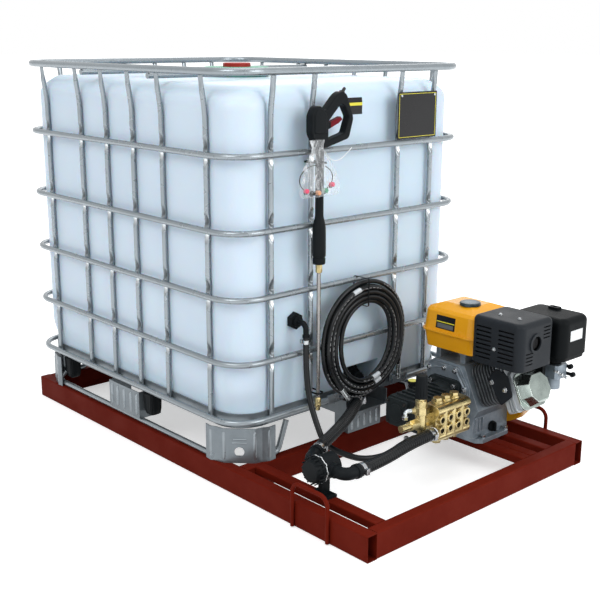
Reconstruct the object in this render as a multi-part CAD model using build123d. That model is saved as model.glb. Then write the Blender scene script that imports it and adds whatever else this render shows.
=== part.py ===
from build123d import *
import math
import os
from itertools import product

# Skid-mounted pressure washer: caged water tank, petrol engine, plunger pump, filter and spray gun.
# Millimetres. +X points to the engine end, +Z up, origin on the floor under the middle of the footprint.

# Whole object
SKID_LENGTH = 1714.0
TOTE_LENGTH = 1200.0
TOTE_WIDTH = 1000.0
SKID_INSET = 11.5
SKID_WIDTH = TOTE_WIDTH - 2 * SKID_INSET
TOTE_HEIGHT = 1160.0
TOTE_OVERHANG = 9.5
X_REAR = -(SKID_LENGTH + TOTE_OVERHANG) / 2
TOTE_FRONT = X_REAR + TOTE_LENGTH
TOTE_MID = X_REAR + TOTE_LENGTH / 2
SKID_REAR = X_REAR + TOTE_OVERHANG
SKID_FRONT = SKID_REAR + SKID_LENGTH
HALF_WIDTH = TOTE_WIDTH / 2

# Clearances
RUN_GAP = 0.05
FREE_GAP = 0.4
SEAT_GAP = 0.1

# Skid tubes
RAIL_HEIGHT = 76.0
RAIL_WIDTH = 38.0
RAIL_WALL = 2.5
RAIL_CORNER = 4.0
INNER_HEIGHT = 25.0
CROSS_SETBACK = 10.0
FILTER_RAIL_INSET = 89.5
FILTER_RAIL_Y = FILTER_RAIL_INSET - SKID_WIDTH / 2
ENGINE_RAIL_YS = (244.5, 283.5, 359.0)
LOOP_BAR = 12.0
LOOP_X = TOTE_FRONT + 310.0
LOOP_SPAN = 140.0
LOOP_TOP = 142.0
LOOP_BOTTOM = 4.0
LOOP_BEND = 30.0

# Pallet
TRAY_FLOOR = 186.0
TRAY_SHEET = 3.0
TRAY_RIM_TOP = 230.0
TRAY_INSET = 35.0
LEG_RADIUS = 150.0
LEG_FLUTE = 4.0
LEG_SHEET = 3.0
LEG_CENTRE_INSET = 165.0
RUNNER_D = 18.0
RUNNER_INSET = 36.0
RUNNER_BEND = 130.0
RUNNER_RUN = 30.0
RUNNER_RISE = 35.0
MIDDLE_LEG_INSET = 15.0
MIDDLE_LEG_DEPTH = 85.0
SPACER_INSET = 24.0
SPACER_WIDTH = 56.0
SUMP_FLOOR = 137.0
SUMP_DEPTH = 178.0
SUMP_HALF = 92.0

# Cage
HOOP_D = 18.0
HOOP_CORNER = 103.0
HOOP_HEIGHTS = (394.0, 586.5, 780.5, 996.0)
BASE_RAIL_Z = 215.0
BASE_RAIL_GAP = 112.0
TOP_RAIL_D = 22.0
TOP_RAIL_Z = RAIL_HEIGHT + TOTE_HEIGHT - TOP_RAIL_D / 2
UPRIGHT_D = 16.0
UPRIGHT_BOTTOM = 197.0
UPRIGHT_LEAN_Z = TOP_RAIL_Z - 135.0
DENT_R = 17.0
DENT_DEPTH = 6.5
DENT_RISE = 23.0
SIDE_UPRIGHTS = (-448.0, -232.0, -76.0, 76.0, 232.0, 448.0)
FRONT_UPRIGHTS = (-341.0, -185.0, 185.0, 341.0)
BACK_UPRIGHTS = (-341.0, -205.0, -68.0, 68.0, 205.0, 341.0)
TOP_BARS = (-190.0, 190.0)

# Tank
BOTTLE_INSET = 42.0
BOTTLE_CORNER = 95.0
BOTTLE_WALL = 4.0
BOTTLE_TOP = RAIL_HEIGHT + TOTE_HEIGHT - 50.0
BOTTLE_SHOULDER = 65.0
NECK_R = 100.0
NECK_BORE = 92.0
NECK_TOP = BOTTLE_TOP + 19.0
LID_R = 109.0
LID_TOP = NECK_TOP + 13.0
VENT_R = 47.0
VENT_HOLE_R = 29.0
VENT_TOP = LID_TOP + 13.0

# Tank valve
VALVE_Y = 55.0
VALVE_Z = 205.0
RECESS_DEPTH = 158.0
RECESS_HALF = 80.0
RECESS_TOP = 290.0
DRUM_R = 60.0
LEVER_RISE = 38.0
ELBOW_R = 21.0

# Engine
CRANK_X = TOTE_FRONT + 198.0
CRANK_Z = RAIL_HEIGHT + 133.0
PTO_Y = 197.0
CASE_DEPTH = 185.0
CASE_FACE = 108.0
PLUG_V = 104.0
CASE_BOSS = 3.0
CASE_BOLTS = ((-68, 82), (-8, 92), (36, 92), (76, 38), (78, -26), (76, -84), (-68, -84), (-74, 2))
CASE_RIBS = (((-68, 82), (-8, 92)), ((36, 92), (76, 38)), ((76, 38), (78, -26)), ((78, -26), (76, -84)))
SHAFT_R = 17.5
NOSE_R = 12.7
BORE_TILT = 25.0
BORE_Y = 98.0
ROCKER_D = -47.0
FLANGE_BOLTS = 92.0
FOOT_THICK = 14.0
SHROUD_DEPTH = 46.0
SHROUD_R = 128.0
STARTER_R = 100.0
STARTER_DEPTH = 56.0
ROPE_U = -62.0
ROPE_R = 2.5
TANK_BOTTOM = 362.0
TANK_SEAM = 415.0
FUEL_X = TOTE_FRONT + 203.5
FUEL_Y = 284.5
FUEL_LENGTH = 213.0
FUEL_WIDTH = 199.0
FUEL_CORNER = 30.0
SEAM_LIP = 6.0
SEAM_THICK = 5.0
FUEL_STAGES = ((60.0, 6.0), (10.0, 40.0), (14.0, 70.0))
FUEL_TOP = TANK_SEAM + SEAM_THICK + sum(rise for rise, taper in FUEL_STAGES)
CAP_X = TOTE_FRONT + 231.0
CAP_Y = 260.0
CAP_R = 33.0
FILLER_R = 26.0
FILLER_RISE = 4.0
CAP_RISE = 10.0
COVER_SHEET = 2.0

# Pump
PUMP_FACE_Y = -24.0
PUMP_BODY_Y = 140.0
HEAD_X = TOTE_FRONT + 288.0
HEAD_DEPTH = 66.0
HEAD_Y = (-15.0, 131.0)
HEAD_Z = (150.0, 262.0)
UNLOADER_X = TOTE_FRONT + 308.0
UNLOADER_Y = -48.0
UNLOADER_TOP = 290.0
OUTLET_Z = 213.0
OUTLET_TIP_Y = -133.0
OUTLET_R = 11.0
RELIEF_Z = 250.0
HEAD_STEP = 14.0
TOWER_YS = (20.0, 58.0, 96.0)
HEAD_BOLT_YS = (1.0, 38.5, 76.0, 113.5)
HEAD_BOLT_ZS = (186.0, 219.0)
HEAD_BOLT_R = 7.5
HEAD_BOLT_SINK = 12.0
INLET_X = TOTE_FRONT + 341.0
INLET_Z = 181.0

# Filter and hoses
FILTER_X = TOTE_FRONT + 265.0
FILTER_Y = FILTER_RAIL_Y + 1.0
FILTER_Z = 160.0
SUCTION_R = 18.0
SUCTION_ROOT = 16.2
SUCTION_BORE = 13.5
BYPASS_R = 9.0
CLAMP_WIDTH = 12.0
CLAMP_BAND = 1.2

# Coil, gun and lance
HOSE_R = 7.25
COIL_PITCH = 15.2
COIL_LAYER = 15.5
COIL_BACK = 16.0
COIL_Y = -3.0
COIL_Z = 395.0
COIL_OUTER = 165.0
COIL_STRAIGHT = 23.5
COIL_TURNS = 4
COIL_END_TURN = 37.0
GUN_THICK = 30.0
GRIP_R = 20.5
LANCE_X = TOTE_FRONT + GRIP_R + SEAT_GAP
LANCE_Y = -195.0
GUN_BOTTOM = 1010.0
TIE_WIDTH = 5.0
TIE_BAND = 1.4

BASE = (Align.CENTER, Align.CENTER, Align.MIN)
CAM = math.cos(math.radians(BORE_TILT))
SAM = math.sin(math.radians(BORE_TILT))


def box(x0, x1, y0, y1, z0, z1):
    """Block between two corners."""
    middle = Pos((x0 + x1) / 2, (y0 + y1) / 2, (z0 + z1) / 2)
    return middle * Box(x1 - x0, y1 - y0, z1 - z0)


def rod(start, end, radius, end_radius=None):
    """Round rod, or a cone if the end radius differs."""
    along = Vector(*end) - Vector(*start)
    place = Plane(origin=start, z_dir=along)
    if end_radius is None:
        return place * Cylinder(radius, along.length, align=BASE)
    return place * Cone(radius, end_radius, along.length, align=BASE)


def hexagon(start, end, across_flats):
    """Hexagonal bar between two points."""
    along = Vector(*end) - Vector(*start)
    place = Plane(origin=start, z_dir=along)
    return extrude(place * RegularPolygon(across_flats / math.sqrt(3), 6), along.length)


def pipe(path, radius):
    """Round bar along a path."""
    return sweep(Plane(origin=path @ 0, z_dir=path % 0) * Circle(radius), path)


def group(solids):
    """Separate solids held in one named piece."""
    return Compound(children=list(solids))


def mirrored(solids):
    """The solids and their mirror images across the long middle plane."""
    return list(solids) + [mirror(s, Plane.XZ) for s in solids]


def hollow_bar(length, width, height):
    """Rectangular tube along X, open at both ends."""
    outer = RectangleRounded(width, height, RAIL_CORNER)
    inner = RectangleRounded(width - 2 * RAIL_WALL, height - 2 * RAIL_WALL, RAIL_CORNER - RAIL_WALL)
    return extrude(Plane.YZ * (outer - inner), length / 2, both=True)


def soft_box(x0, x1, y0, y1, z0, z1, corner, edge):
    """Block with rounded upright corners and a rounded top edge."""
    outline = Pos((x0 + x1) / 2, (y0 + y1) / 2, z0) * RectangleRounded(x1 - x0, y1 - y0, corner)
    block = extrude(outline, z1 - z0)
    return fillet(block.faces().sort_by(Axis.Z)[-1].edges(), edge)


def route(points, name):
    """Path of straight runs and tangent arcs, each arc as large as its runs allow."""
    spots = [Vector(*p) for p in points]
    radii = []
    for a, b, c in zip(spots, spots[1:], spots[2:]):
        first = b - a
        second = c - b
        half = math.radians(first.get_angle(second)) / 2
        radii.append(0.45 * min(first.length, second.length) / math.tan(half))
    print(name, "bend radii", [round(r) for r in radii])
    return FilletPolyline(*points, radius=radii)


# Skid


def side_rails():
    """The two long tubes of the skid."""
    y = (SKID_WIDTH - RAIL_WIDTH) / 2
    middle = (SKID_REAR + SKID_FRONT) / 2
    bar = Pos(middle, -y, RAIL_HEIGHT / 2) * hollow_bar(SKID_LENGTH, RAIL_WIDTH, RAIL_HEIGHT)
    return group(mirrored([bar]))


def cross_rails():
    """Cross tubes between the side rails, and the shallow rails under the filter and the engine."""
    span = SKID_WIDTH - 2 * RAIL_WIDTH
    cross_front = TOTE_FRONT - CROSS_SETBACK
    middles = [SKID_REAR + RAIL_WIDTH / 2, cross_front - RAIL_WIDTH / 2, SKID_FRONT - RAIL_WIDTH / 2]
    cross = Rot(0, 0, 90) * hollow_bar(span, RAIL_WIDTH, RAIL_HEIGHT)
    bars = [Pos(x, 0, RAIL_HEIGHT / 2) * cross for x in middles]
    length = SKID_FRONT - RAIL_WIDTH - cross_front
    inner = hollow_bar(length, RAIL_WIDTH, INNER_HEIGHT)
    z = RAIL_HEIGHT - INNER_HEIGHT / 2
    for y in (FILTER_RAIL_Y,) + ENGINE_RAIL_YS:
        bars.append(Pos(cross_front + length / 2, y, z) * inner)
    return group(bars)


def lifting_loops():
    """Bent bars welded to the outside of the side rails."""
    y = -(SKID_WIDTH + LOOP_BAR) / 2 - SEAT_GAP / 2
    a = LOOP_X - LOOP_SPAN / 2
    b = LOOP_X + LOOP_SPAN / 2
    points = [(a, y, LOOP_BOTTOM), (a, y, LOOP_TOP - LOOP_BAR / 2)]
    points += [(b, y, LOOP_TOP - LOOP_BAR / 2), (b, y, LOOP_BOTTOM)]
    return group(mirrored([pipe(FilletPolyline(*points, radius=LOOP_BEND), LOOP_BAR / 2)]))


# Pallet


def inset_plan(inset, corner):
    """Outline of the tote moved in by an inset, with rounded corners."""
    return Pos(TOTE_MID, 0) * RectangleRounded(TOTE_LENGTH - 2 * inset, TOTE_WIDTH - 2 * inset, corner)


def pallet_tray():
    """Pressed tray with an upturned rim and a lower pan under the valve."""
    outer = inset_plan(TRAY_INSET, BOTTLE_CORNER + BOTTLE_INSET - TRAY_INSET)
    inner = inset_plan(TRAY_INSET + TRAY_SHEET, BOTTLE_CORNER + BOTTLE_INSET - TRAY_INSET - TRAY_SHEET)
    tray = extrude(Pos(0, 0, TRAY_FLOOR) * outer, TRAY_RIM_TOP - TRAY_FLOOR)
    tray -= extrude(Pos(0, 0, TRAY_FLOOR + TRAY_SHEET) * inner, TRAY_RIM_TOP - TRAY_FLOOR)
    back = TOTE_FRONT - SUMP_DEPTH
    front = TOTE_FRONT - 12
    y0 = VALVE_Y - SUMP_HALF
    y1 = VALVE_Y + SUMP_HALF
    pan = box(back - TRAY_SHEET, front, y0 - TRAY_SHEET, y1 + TRAY_SHEET, SUMP_FLOOR, TRAY_FLOOR + TRAY_SHEET)
    hollow = box(back, TOTE_FRONT, y0, y1, SUMP_FLOOR + TRAY_SHEET, TRAY_RIM_TOP + 1)
    return tray + pan - hollow


def corner_panel():
    """Fluted quarter-round leg at the front corner on the near side, with a flat for its hole."""
    x = TOTE_FRONT - LEG_CENTRE_INSET
    y = -HALF_WIDTH + LEG_CENTRE_INSET
    angles = [-90, -81, -72, -63, -57, -33, -27, -18, -9, 0]
    flutes = [0, LEG_FLUTE, 0, LEG_FLUTE, 0, 0, LEG_FLUTE, 0, LEG_FLUTE, 0]
    outer = []
    inner = []
    for angle, flute in zip(angles, flutes):
        c = math.cos(math.radians(angle))
        s = math.sin(math.radians(angle))
        outer.append((x + (LEG_RADIUS + flute) * c, y + (LEG_RADIUS + flute) * s))
        inner.append((x + (LEG_RADIUS + flute - LEG_SHEET) * c, y + (LEG_RADIUS + flute - LEG_SHEET) * s))
    outline = make_face(Polyline(*(outer + inner[::-1]), close=True))
    panel = extrude(Pos(0, 0, RAIL_HEIGHT) * outline, TRAY_FLOOR - RAIL_HEIGHT)
    reach = LEG_RADIUS * math.sqrt(0.5)
    hole = rod((x, y, 112), (x + 2 * reach, y - 2 * reach, 112), 15)
    return panel - hole


def leg_channel(x0, x1, y0, y1, z0, z1):
    """Pressed channel open towards the middle of the pallet along +Y."""
    inside = box(x0 + LEG_SHEET, x1 - LEG_SHEET, y0 + LEG_SHEET, y1 + 1, z0 - 1, z1 + 1)
    return box(x0, x1, y0, y1, z0, z1) - inside


def pallet_legs():
    """Four corner legs, one leg in the middle of each long side and one at each end."""
    corner = corner_panel()
    rear = mirror(corner, Plane.YZ.offset(TOTE_MID))
    top_of_runner = RAIL_HEIGHT + RUNNER_D + SEAT_GAP
    outside = MIDDLE_LEG_INSET - HALF_WIDTH
    inside = outside + MIDDLE_LEG_DEPTH
    middle = leg_channel(TOTE_MID - 108, TOTE_MID + 72, outside, inside, top_of_runner, TRAY_FLOOR)
    legs = mirrored([corner, rear, middle])
    end = leg_channel(-75, 75, -62, 0, RAIL_HEIGHT, SUMP_FLOOR)
    legs.append(Pos(TOTE_FRONT - 74, VALVE_Y - 10, 0) * Rot(0, 0, 90) * end)
    back = leg_channel(-75, 75, -62, 0, RAIL_HEIGHT, TRAY_FLOOR)
    legs.append(Pos(SKID_REAR + 64, 0, 0) * Rot(0, 0, -90) * back)
    return group(legs)


def pallet_runners():
    """Bent tubes that lie on the side rails and turn up inside the corner legs."""
    y = -(SKID_WIDTH - RAIL_WIDTH) / 2
    z = RAIL_HEIGHT + RUNNER_D / 2
    front = TOTE_FRONT - RUNNER_INSET
    rear = X_REAR + RUNNER_INSET
    turn = y + RUNNER_BEND + RUNNER_RUN
    end = turn + RUNNER_RISE
    points = [(front, end, TRAY_FLOOR - 6), (front, turn, z), (front, y, z)]
    points += [(rear, y, z), (rear, turn, z), (rear, end, TRAY_FLOOR - 6)]
    path = FilletPolyline(*points, radius=[28, RUNNER_BEND, RUNNER_BEND, 28])
    return group(mirrored([pipe(path, RUNNER_D / 2)]))


def leg_spacers():
    """Plastic blocks under the tray, behind the middle and rear legs."""
    starts = [TOTE_MID + 73, X_REAR + 160]
    y0 = SPACER_INSET - HALF_WIDTH
    y1 = MIDDLE_LEG_INSET + MIDDLE_LEG_DEPTH - HALF_WIDTH
    z0 = RAIL_HEIGHT + RUNNER_D + SEAT_GAP
    blocks = [box(x, x + SPACER_WIDTH, y0, y1, z0, TRAY_FLOOR) for x in starts]
    return group(mirrored([chamfer(b.edges().filter_by(Axis.Z), 6) for b in blocks]))


# Cage


def ring(z, inset, radius):
    """Closed round bar around the tote."""
    path = (Pos(0, 0, z) * inset_plan(inset, HOOP_CORNER)).wire()
    return pipe(path, radius)


def cage_hoops():
    """Horizontal hoops of the cage."""
    return group([ring(z, HOOP_D / 2, HOOP_D / 2) for z in HOOP_HEIGHTS])


def cage_base_rail():
    """Bar around the tray, open in front of the valve, with flattened ends."""
    r = HOOP_D / 2
    front = TOTE_FRONT - r
    rear = X_REAR + r
    side = HALF_WIDTH - r
    y0 = VALVE_Y - BASE_RAIL_GAP
    y1 = VALVE_Y + BASE_RAIL_GAP
    points = [(front, y0 - 70), (front, -side), (rear, -side), (rear, side), (front, side), (front, y1 + 70)]
    path = FilletPolyline(*[(x, y, BASE_RAIL_Z) for x, y in points], radius=HOOP_CORNER)
    tab = box(front - 4, front + 4, y0 - 70, y0, BASE_RAIL_Z - 13, BASE_RAIL_Z + 13)
    tab -= rod((front - 9, y0 - 18, BASE_RAIL_Z), (front + 9, y0 - 18, BASE_RAIL_Z), 5)
    return pipe(path, r) + tab + Pos(0, 2 * BASE_RAIL_GAP + 70, 0) * tab


def cage_top_rail():
    """Top rail of the cage with two bars across the tank."""
    inset = TOP_RAIL_D / 2
    bars = [ring(TOP_RAIL_Z, inset, inset)]
    y = HALF_WIDTH - inset
    r = HOOP_D / 2
    z = TOP_RAIL_Z - inset - r - SEAT_GAP
    for x in TOP_BARS:
        bars.append(rod((TOTE_MID + x, -y, z), (TOTE_MID + x, y, z), r))
    return group(bars)


def upright(x, y, out_x, out_y):
    """One upright inside the hoops, pinched beside each hoop and leaning out to the top rail."""
    r = UPRIGHT_D / 2
    shift = HOOP_D + SEAT_GAP + r - TOP_RAIL_D / 2
    top = TOP_RAIL_Z - TOP_RAIL_D / 2 - SEAT_GAP
    points = [(x, y, UPRIGHT_BOTTOM), (x, y, UPRIGHT_LEAN_Z)]
    points.append((x + out_x * shift, y + out_y * shift, top + r))
    bar = pipe(FilletPolyline(*points, radius=200), r)
    deep = 2 * r
    end = box(x - deep, x + deep, y - deep, y + deep, top, top + deep)
    bar -= Pos(out_x * shift, out_y * shift, 0) * end
    reach = r + DENT_R - DENT_DEPTH
    across = (out_y * deep, out_x * deep)
    for hoop, side in product(HOOP_HEIGHTS, (-1, 1)):
        spot = Vector(x + out_x * reach, y + out_y * reach, hoop + side * DENT_RISE)
        width = Vector(across[0], across[1], 0)
        bar -= rod(tuple(spot - width), tuple(spot + width), DENT_R)
    return bar


def cage_uprights():
    """All the uprights of the cage."""
    inset = HOOP_D + SEAT_GAP + UPRIGHT_D / 2
    near = -HALF_WIDTH + inset
    bars = mirrored([upright(TOTE_MID + x, near, 0, -1) for x in SIDE_UPRIGHTS])
    bars += [upright(TOTE_FRONT - inset, y, 1, 0) for y in FRONT_UPRIGHTS]
    bars += [upright(X_REAR + inset, y, -1, 0) for y in BACK_UPRIGHTS]
    return group(bars)


# Tank


def tank_form(wall):
    """Tank shape, moved in by a wall thickness."""
    plan = inset_plan(BOTTLE_INSET + wall, BOTTLE_CORNER - wall)
    bottom = TRAY_FLOOR + TRAY_SHEET + wall
    block = extrude(Pos(0, 0, bottom) * plan, BOTTLE_TOP - wall - bottom)
    block = fillet(block.faces().sort_by(Axis.Z)[-1].edges(), BOTTLE_SHOULDER - wall)
    front = TOTE_FRONT - RECESS_DEPTH - wall
    y0 = VALVE_Y - RECESS_HALF - wall
    y1 = VALVE_Y + RECESS_HALF + wall
    return block - box(front, TOTE_FRONT, y0, y1, 0, RECESS_TOP + wall)


def tote_bottle():
    """Hollow tank with a filling neck on top and an outlet spout in the recess."""
    recess = TOTE_FRONT - RECESS_DEPTH
    spout = rod((recess - 2, VALVE_Y, VALVE_Z + 24), (recess + 14, VALVE_Y, VALVE_Z + 24), 36)
    neck = rod((TOTE_MID, 0, BOTTLE_TOP - 2), (TOTE_MID, 0, NECK_TOP), NECK_R)
    bore = rod((TOTE_MID, 0, BOTTLE_TOP - 20), (TOTE_MID, 0, NECK_TOP + 1), NECK_BORE)
    drain = rod((recess - 20, VALVE_Y, VALVE_Z + 24), (recess + 20, VALVE_Y, VALVE_Z + 24), 28)
    return tank_form(0) + spout + neck - tank_form(BOTTLE_WALL) - bore - drain


def tote_lid():
    """Screw lid with grip lugs and a hole for the vent cap."""
    skirt_inner = NECK_R + FREE_GAP
    lid = rod((TOTE_MID, 0, NECK_TOP - 16), (TOTE_MID, 0, LID_TOP), LID_R)
    lid = fillet(lid.edges().sort_by(Axis.Z)[-1], 4)
    lid -= rod((TOTE_MID, 0, NECK_TOP - 17), (TOTE_MID, 0, NECK_TOP + FREE_GAP), skirt_inner)
    lid -= rod((TOTE_MID, 0, NECK_TOP), (TOTE_MID, 0, LID_TOP + 1), VENT_HOLE_R)
    lug = box(-LID_R - 3, -LID_R + 1, -7, 7, NECK_TOP - 16, LID_TOP - 5)
    for spot in PolarLocations(0, 12):
        lid += Pos(TOTE_MID, 0, 0) * spot * lug
    return lid


def vent_cap():
    """Small vent cap screwed into the lid."""
    cap = rod((TOTE_MID, 0, LID_TOP + SEAT_GAP), (TOTE_MID, 0, VENT_TOP), VENT_R)
    cap = fillet(cap.edges().sort_by(Axis.Z)[-1], 3)
    cap += rod((TOTE_MID, 0, NECK_TOP), (TOTE_MID, 0, LID_TOP + 1), VENT_HOLE_R - FREE_GAP)
    return cap - box(TOTE_MID - 30, TOTE_MID + 30, -4, 4, VENT_TOP - 5, VENT_TOP + 1)


# Tank valve


def valve_body():
    """Screw ring, housing and outlet of the tank valve."""
    x = TOTE_FRONT - RECESS_DEPTH + 14
    z = VALVE_Z + 24
    body = rod((x, VALVE_Y, z), (x + 32, VALVE_Y, z), DRUM_R)
    body = fillet(body.edges().sort_by(Axis.X)[-1], 6)
    body += rod((x + 32, VALVE_Y, z), (x + 66, VALVE_Y, z), 36)
    for level in (z, VALVE_Z):
        body += rod((x + 60, VALVE_Y, level), (TOTE_FRONT - 52, VALVE_Y, level), 27)
    body += box(x + 60, TOTE_FRONT - 52, VALVE_Y - 27, VALVE_Y + 27, VALVE_Z, z)
    body += rod((x + 50, VALVE_Y, z), (x + 50, VALVE_Y, z + LEVER_RISE), 15)
    return body


def valve_lever():
    """Short hand lever on top of the valve."""
    x = TOTE_FRONT - RECESS_DEPTH + 64
    z = VALVE_Z + 24 + LEVER_RISE + SEAT_GAP
    bar = Pos(x, VALVE_Y - 28, z) * RectangleRounded(26, 84, 11)
    lever = extrude(bar, 9)
    lever += box(x - 5, x + 5, VALVE_Y - 68, VALVE_Y - 12, z + 8, z + 14)
    return lever


TANK_ELBOW_AT = (TOTE_FRONT - 30, VALVE_Y, VALVE_Z)
TANK_ELBOW_DIR = Vector(0.44, -0.84, -0.32).normalized()
FILTER_IN_AT = (TOTE_FRONT + 206, FILTER_Y, FILTER_Z + 4)
FILTER_IN_DIR = Vector(-0.423, 0.903, 0.077).normalized()
FILTER_OUT_AT = (TOTE_FRONT + 350, FILTER_Y, FILTER_Z + 2)


def elbow(start, corner, end):
    """Moulded elbow with a swollen collar at each end."""
    path = FilletPolyline(start, corner, end, radius=24)
    body = pipe(path, ELBOW_R - 3)
    for spot, inner in ((Vector(*start), Vector(*corner)), (Vector(*end), Vector(*corner))):
        inward = (inner - spot).normalized()
        body += rod(tuple(spot), tuple(spot + inward * 12), ELBOW_R)
    return body


def elbow_ends():
    """Where each elbow ends, so the hoses start there."""
    tank = Vector(*TANK_ELBOW_AT) + TANK_ELBOW_DIR * 50
    inlet = Vector(*FILTER_IN_AT) + FILTER_IN_DIR * 52
    outlet = Vector(*FILTER_OUT_AT) + Vector(0, 48, 0)
    return tuple(tank), tuple(inlet), tuple(outlet)


def pipe_elbows():
    """Elbows at the tank valve and on both sides of the filter."""
    tank, inlet, outlet = elbow_ends()
    first = elbow((TOTE_FRONT - 52 + SEAT_GAP, VALVE_Y, VALVE_Z), TANK_ELBOW_AT, tank)
    second = elbow((FILTER_X - 36, FILTER_Y, FILTER_Z + 4), FILTER_IN_AT, inlet)
    third = elbow((FILTER_X + 36, FILTER_Y, FILTER_Z + 2), FILTER_OUT_AT, outlet)
    return group([first, second, third])


# Engine


def engine_point(u, v, w):
    """Point measured from the crank axis at the pump face."""
    return (CRANK_X + u, PTO_Y + v, CRANK_Z + w)


def bore_plane(s, d):
    """Plane square to the cylinder, s along its axis and d across it; its X runs along +Y."""
    x = CRANK_X + CAM * s - SAM * d
    z = CRANK_Z + SAM * s + CAM * d
    return Plane(origin=(x, PTO_Y + BORE_Y, z), x_dir=(0, 1, 0), z_dir=(CAM, 0, SAM))


def along_crank(outline, v0, v1):
    """Solid from an outline in the plane of X and Z, between two depths from the pump face."""
    start = Plane(origin=engine_point(0, v0, 0), x_dir=(1, 0, 0), z_dir=(0, 1, 0))
    return extrude(start * Rot(180, 0, 0) * outline, v1 - v0, dir=(0, 1, 0))


def outline_of(points, corner):
    """Polygon in crank coordinates with rounded corners."""
    return fillet(make_face(Polyline(*points, close=True)).vertices(), corner)


def engine_crankcase():
    """Cast crankcase with its foot, side cover and tank brackets."""
    s = 104
    wide = 74
    slope = [(CAM * s - SAM * wide, SAM * s + CAM * wide), (CAM * s + SAM * wide, SAM * s - CAM * wide)]
    low = RAIL_HEIGHT + FOOT_THICK - CRANK_Z
    points = [(-84, low), (-84, 92), (-58, slope[0][1])] + slope + [(CASE_FACE, -52), (CASE_FACE, low)]
    case = along_crank(make_face(Polyline(*points, close=True)), 10, CASE_DEPTH)
    cover = [(-80, -96), (-80, 78), (-50, 104), (45, 104), (88, 40), (88, -96)]
    case += along_crank(outline_of(cover, 16), 0, 10)
    x0 = CRANK_X - 106
    x1 = CRANK_X + 132
    foot = box(x0, x1, PTO_Y + 14, PTO_Y + 178, RAIL_HEIGHT, RAIL_HEIGHT + FOOT_THICK)
    case += chamfer(foot.edges().filter_by(Axis.Z), 18)
    for u in (-60, 40):
        top = TANK_BOTTOM - CRANK_Z
        case += box(CRANK_X + u - 9, CRANK_X + u + 9, PTO_Y + 30, PTO_Y + 130, CRANK_Z + 80, CRANK_Z + top)
    for u, w in CASE_BOLTS:
        case += rod(engine_point(u, -CASE_BOSS, w), engine_point(u, 2, w), 9)
    for (u0, w0), (u1, w1) in CASE_RIBS:
        case += rod(engine_point(u0, 1, w0), engine_point(u1, 1, w1), 3.5)
    face = CRANK_X + CASE_FACE
    for y in (PTO_Y + 20, PTO_Y + 36, PTO_Y + 52):
        case += box(face - 2, face + 5, y, y + 5, CRANK_Z - 100, CRANK_Z - 56)
    hole = rod(engine_point(0, -1, 0), engine_point(0, CASE_DEPTH + 1, 0), SHAFT_R + RUN_GAP)
    plug = rod(engine_point(CASE_FACE - 24, PLUG_V, -98), engine_point(CASE_FACE + 1, PLUG_V, -98), 11)
    return case - hole - plug


def cylinder():
    """Finned cylinder and head, tilted up towards +X."""
    block = extrude(bore_plane(104, 0) * Circle(52), 146)
    fin = RectangleRounded(146, 136, 26)
    for k in range(8):
        block += extrude(bore_plane(112 + 12 * k, 0) * fin, 3.5)
    block += extrude(bore_plane(204, -26) * RectangleRounded(140, 158, 14), 12)
    block += extrude(bore_plane(214, -40) * RectangleRounded(128, 118, 12), 36)
    for k in range(2):
        block += extrude(bore_plane(222 + 12 * k, -26) * RectangleRounded(140, 158, 14), 4)
    return block


def rocker_cover():
    """Pressed eight-sided cover on the end of the head."""
    flange = extrude(bore_plane(250, ROCKER_D) * RectangleRounded(126, 116, 26), 5)
    base = chamfer(Rectangle(114, 104).vertices(), 30)
    dome = extrude(bore_plane(255, ROCKER_D) * base, 38, taper=14)
    return flange + fillet(dome.faces().sort_by(Axis.X)[-1].edges(), 6)


def fuel_tank():
    """Pressed tank with a seam flange, a rounded crown in stages and a filler neck."""
    plan = RectangleRounded(FUEL_LENGTH, FUEL_WIDTH, FUEL_CORNER)
    seam = RectangleRounded(FUEL_LENGTH + 2 * SEAM_LIP, FUEL_WIDTH + 2 * SEAM_LIP, FUEL_CORNER + SEAM_LIP)
    tank = extrude(Pos(FUEL_X, FUEL_Y, TANK_SEAM) * plan, TANK_BOTTOM - TANK_SEAM, taper=11)
    tank += extrude(Pos(FUEL_X, FUEL_Y, TANK_SEAM) * seam, SEAM_THICK)
    z = TANK_SEAM + SEAM_THICK
    inset = 0
    for rise, taper in FUEL_STAGES:
        stage = RectangleRounded(FUEL_LENGTH - 2 * inset, FUEL_WIDTH - 2 * inset, FUEL_CORNER - inset)
        tank += extrude(Pos(FUEL_X, FUEL_Y, z) * stage, rise, taper=taper)
        inset += rise * math.tan(math.radians(taper))
        z += rise
    return tank + rod((CAP_X, CAP_Y, FUEL_TOP - 12), (CAP_X, CAP_Y, FUEL_TOP + FILLER_RISE), FILLER_R)


def fuel_cap():
    """Low screw cap of the fuel tank."""
    cap = rod((CAP_X, CAP_Y, FUEL_TOP + SEAT_GAP), (CAP_X, CAP_Y, FUEL_TOP + CAP_RISE), CAP_R)
    cap = fillet(cap.edges().sort_by(Axis.Z)[-1], 4)
    inside = FUEL_TOP + FILLER_RISE + SEAT_GAP
    return cap - rod((CAP_X, CAP_Y, FUEL_TOP), (CAP_X, CAP_Y, inside), FILLER_R + FREE_GAP)


COVER_X = (TOTE_FRONT + 319, TOTE_FRONT + 505)
COVER_Y = (156, 322)
COVER_Z = (366, 511)
COVER_SCREWS = (TOTE_FRONT + 383, TOTE_FRONT + 453)
COVER_SCREW_Y = 214
TAIL_Y = 228
TAIL_Z = 446
STUB_X = TOTE_FRONT + 402
STUB_Y = 280


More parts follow.
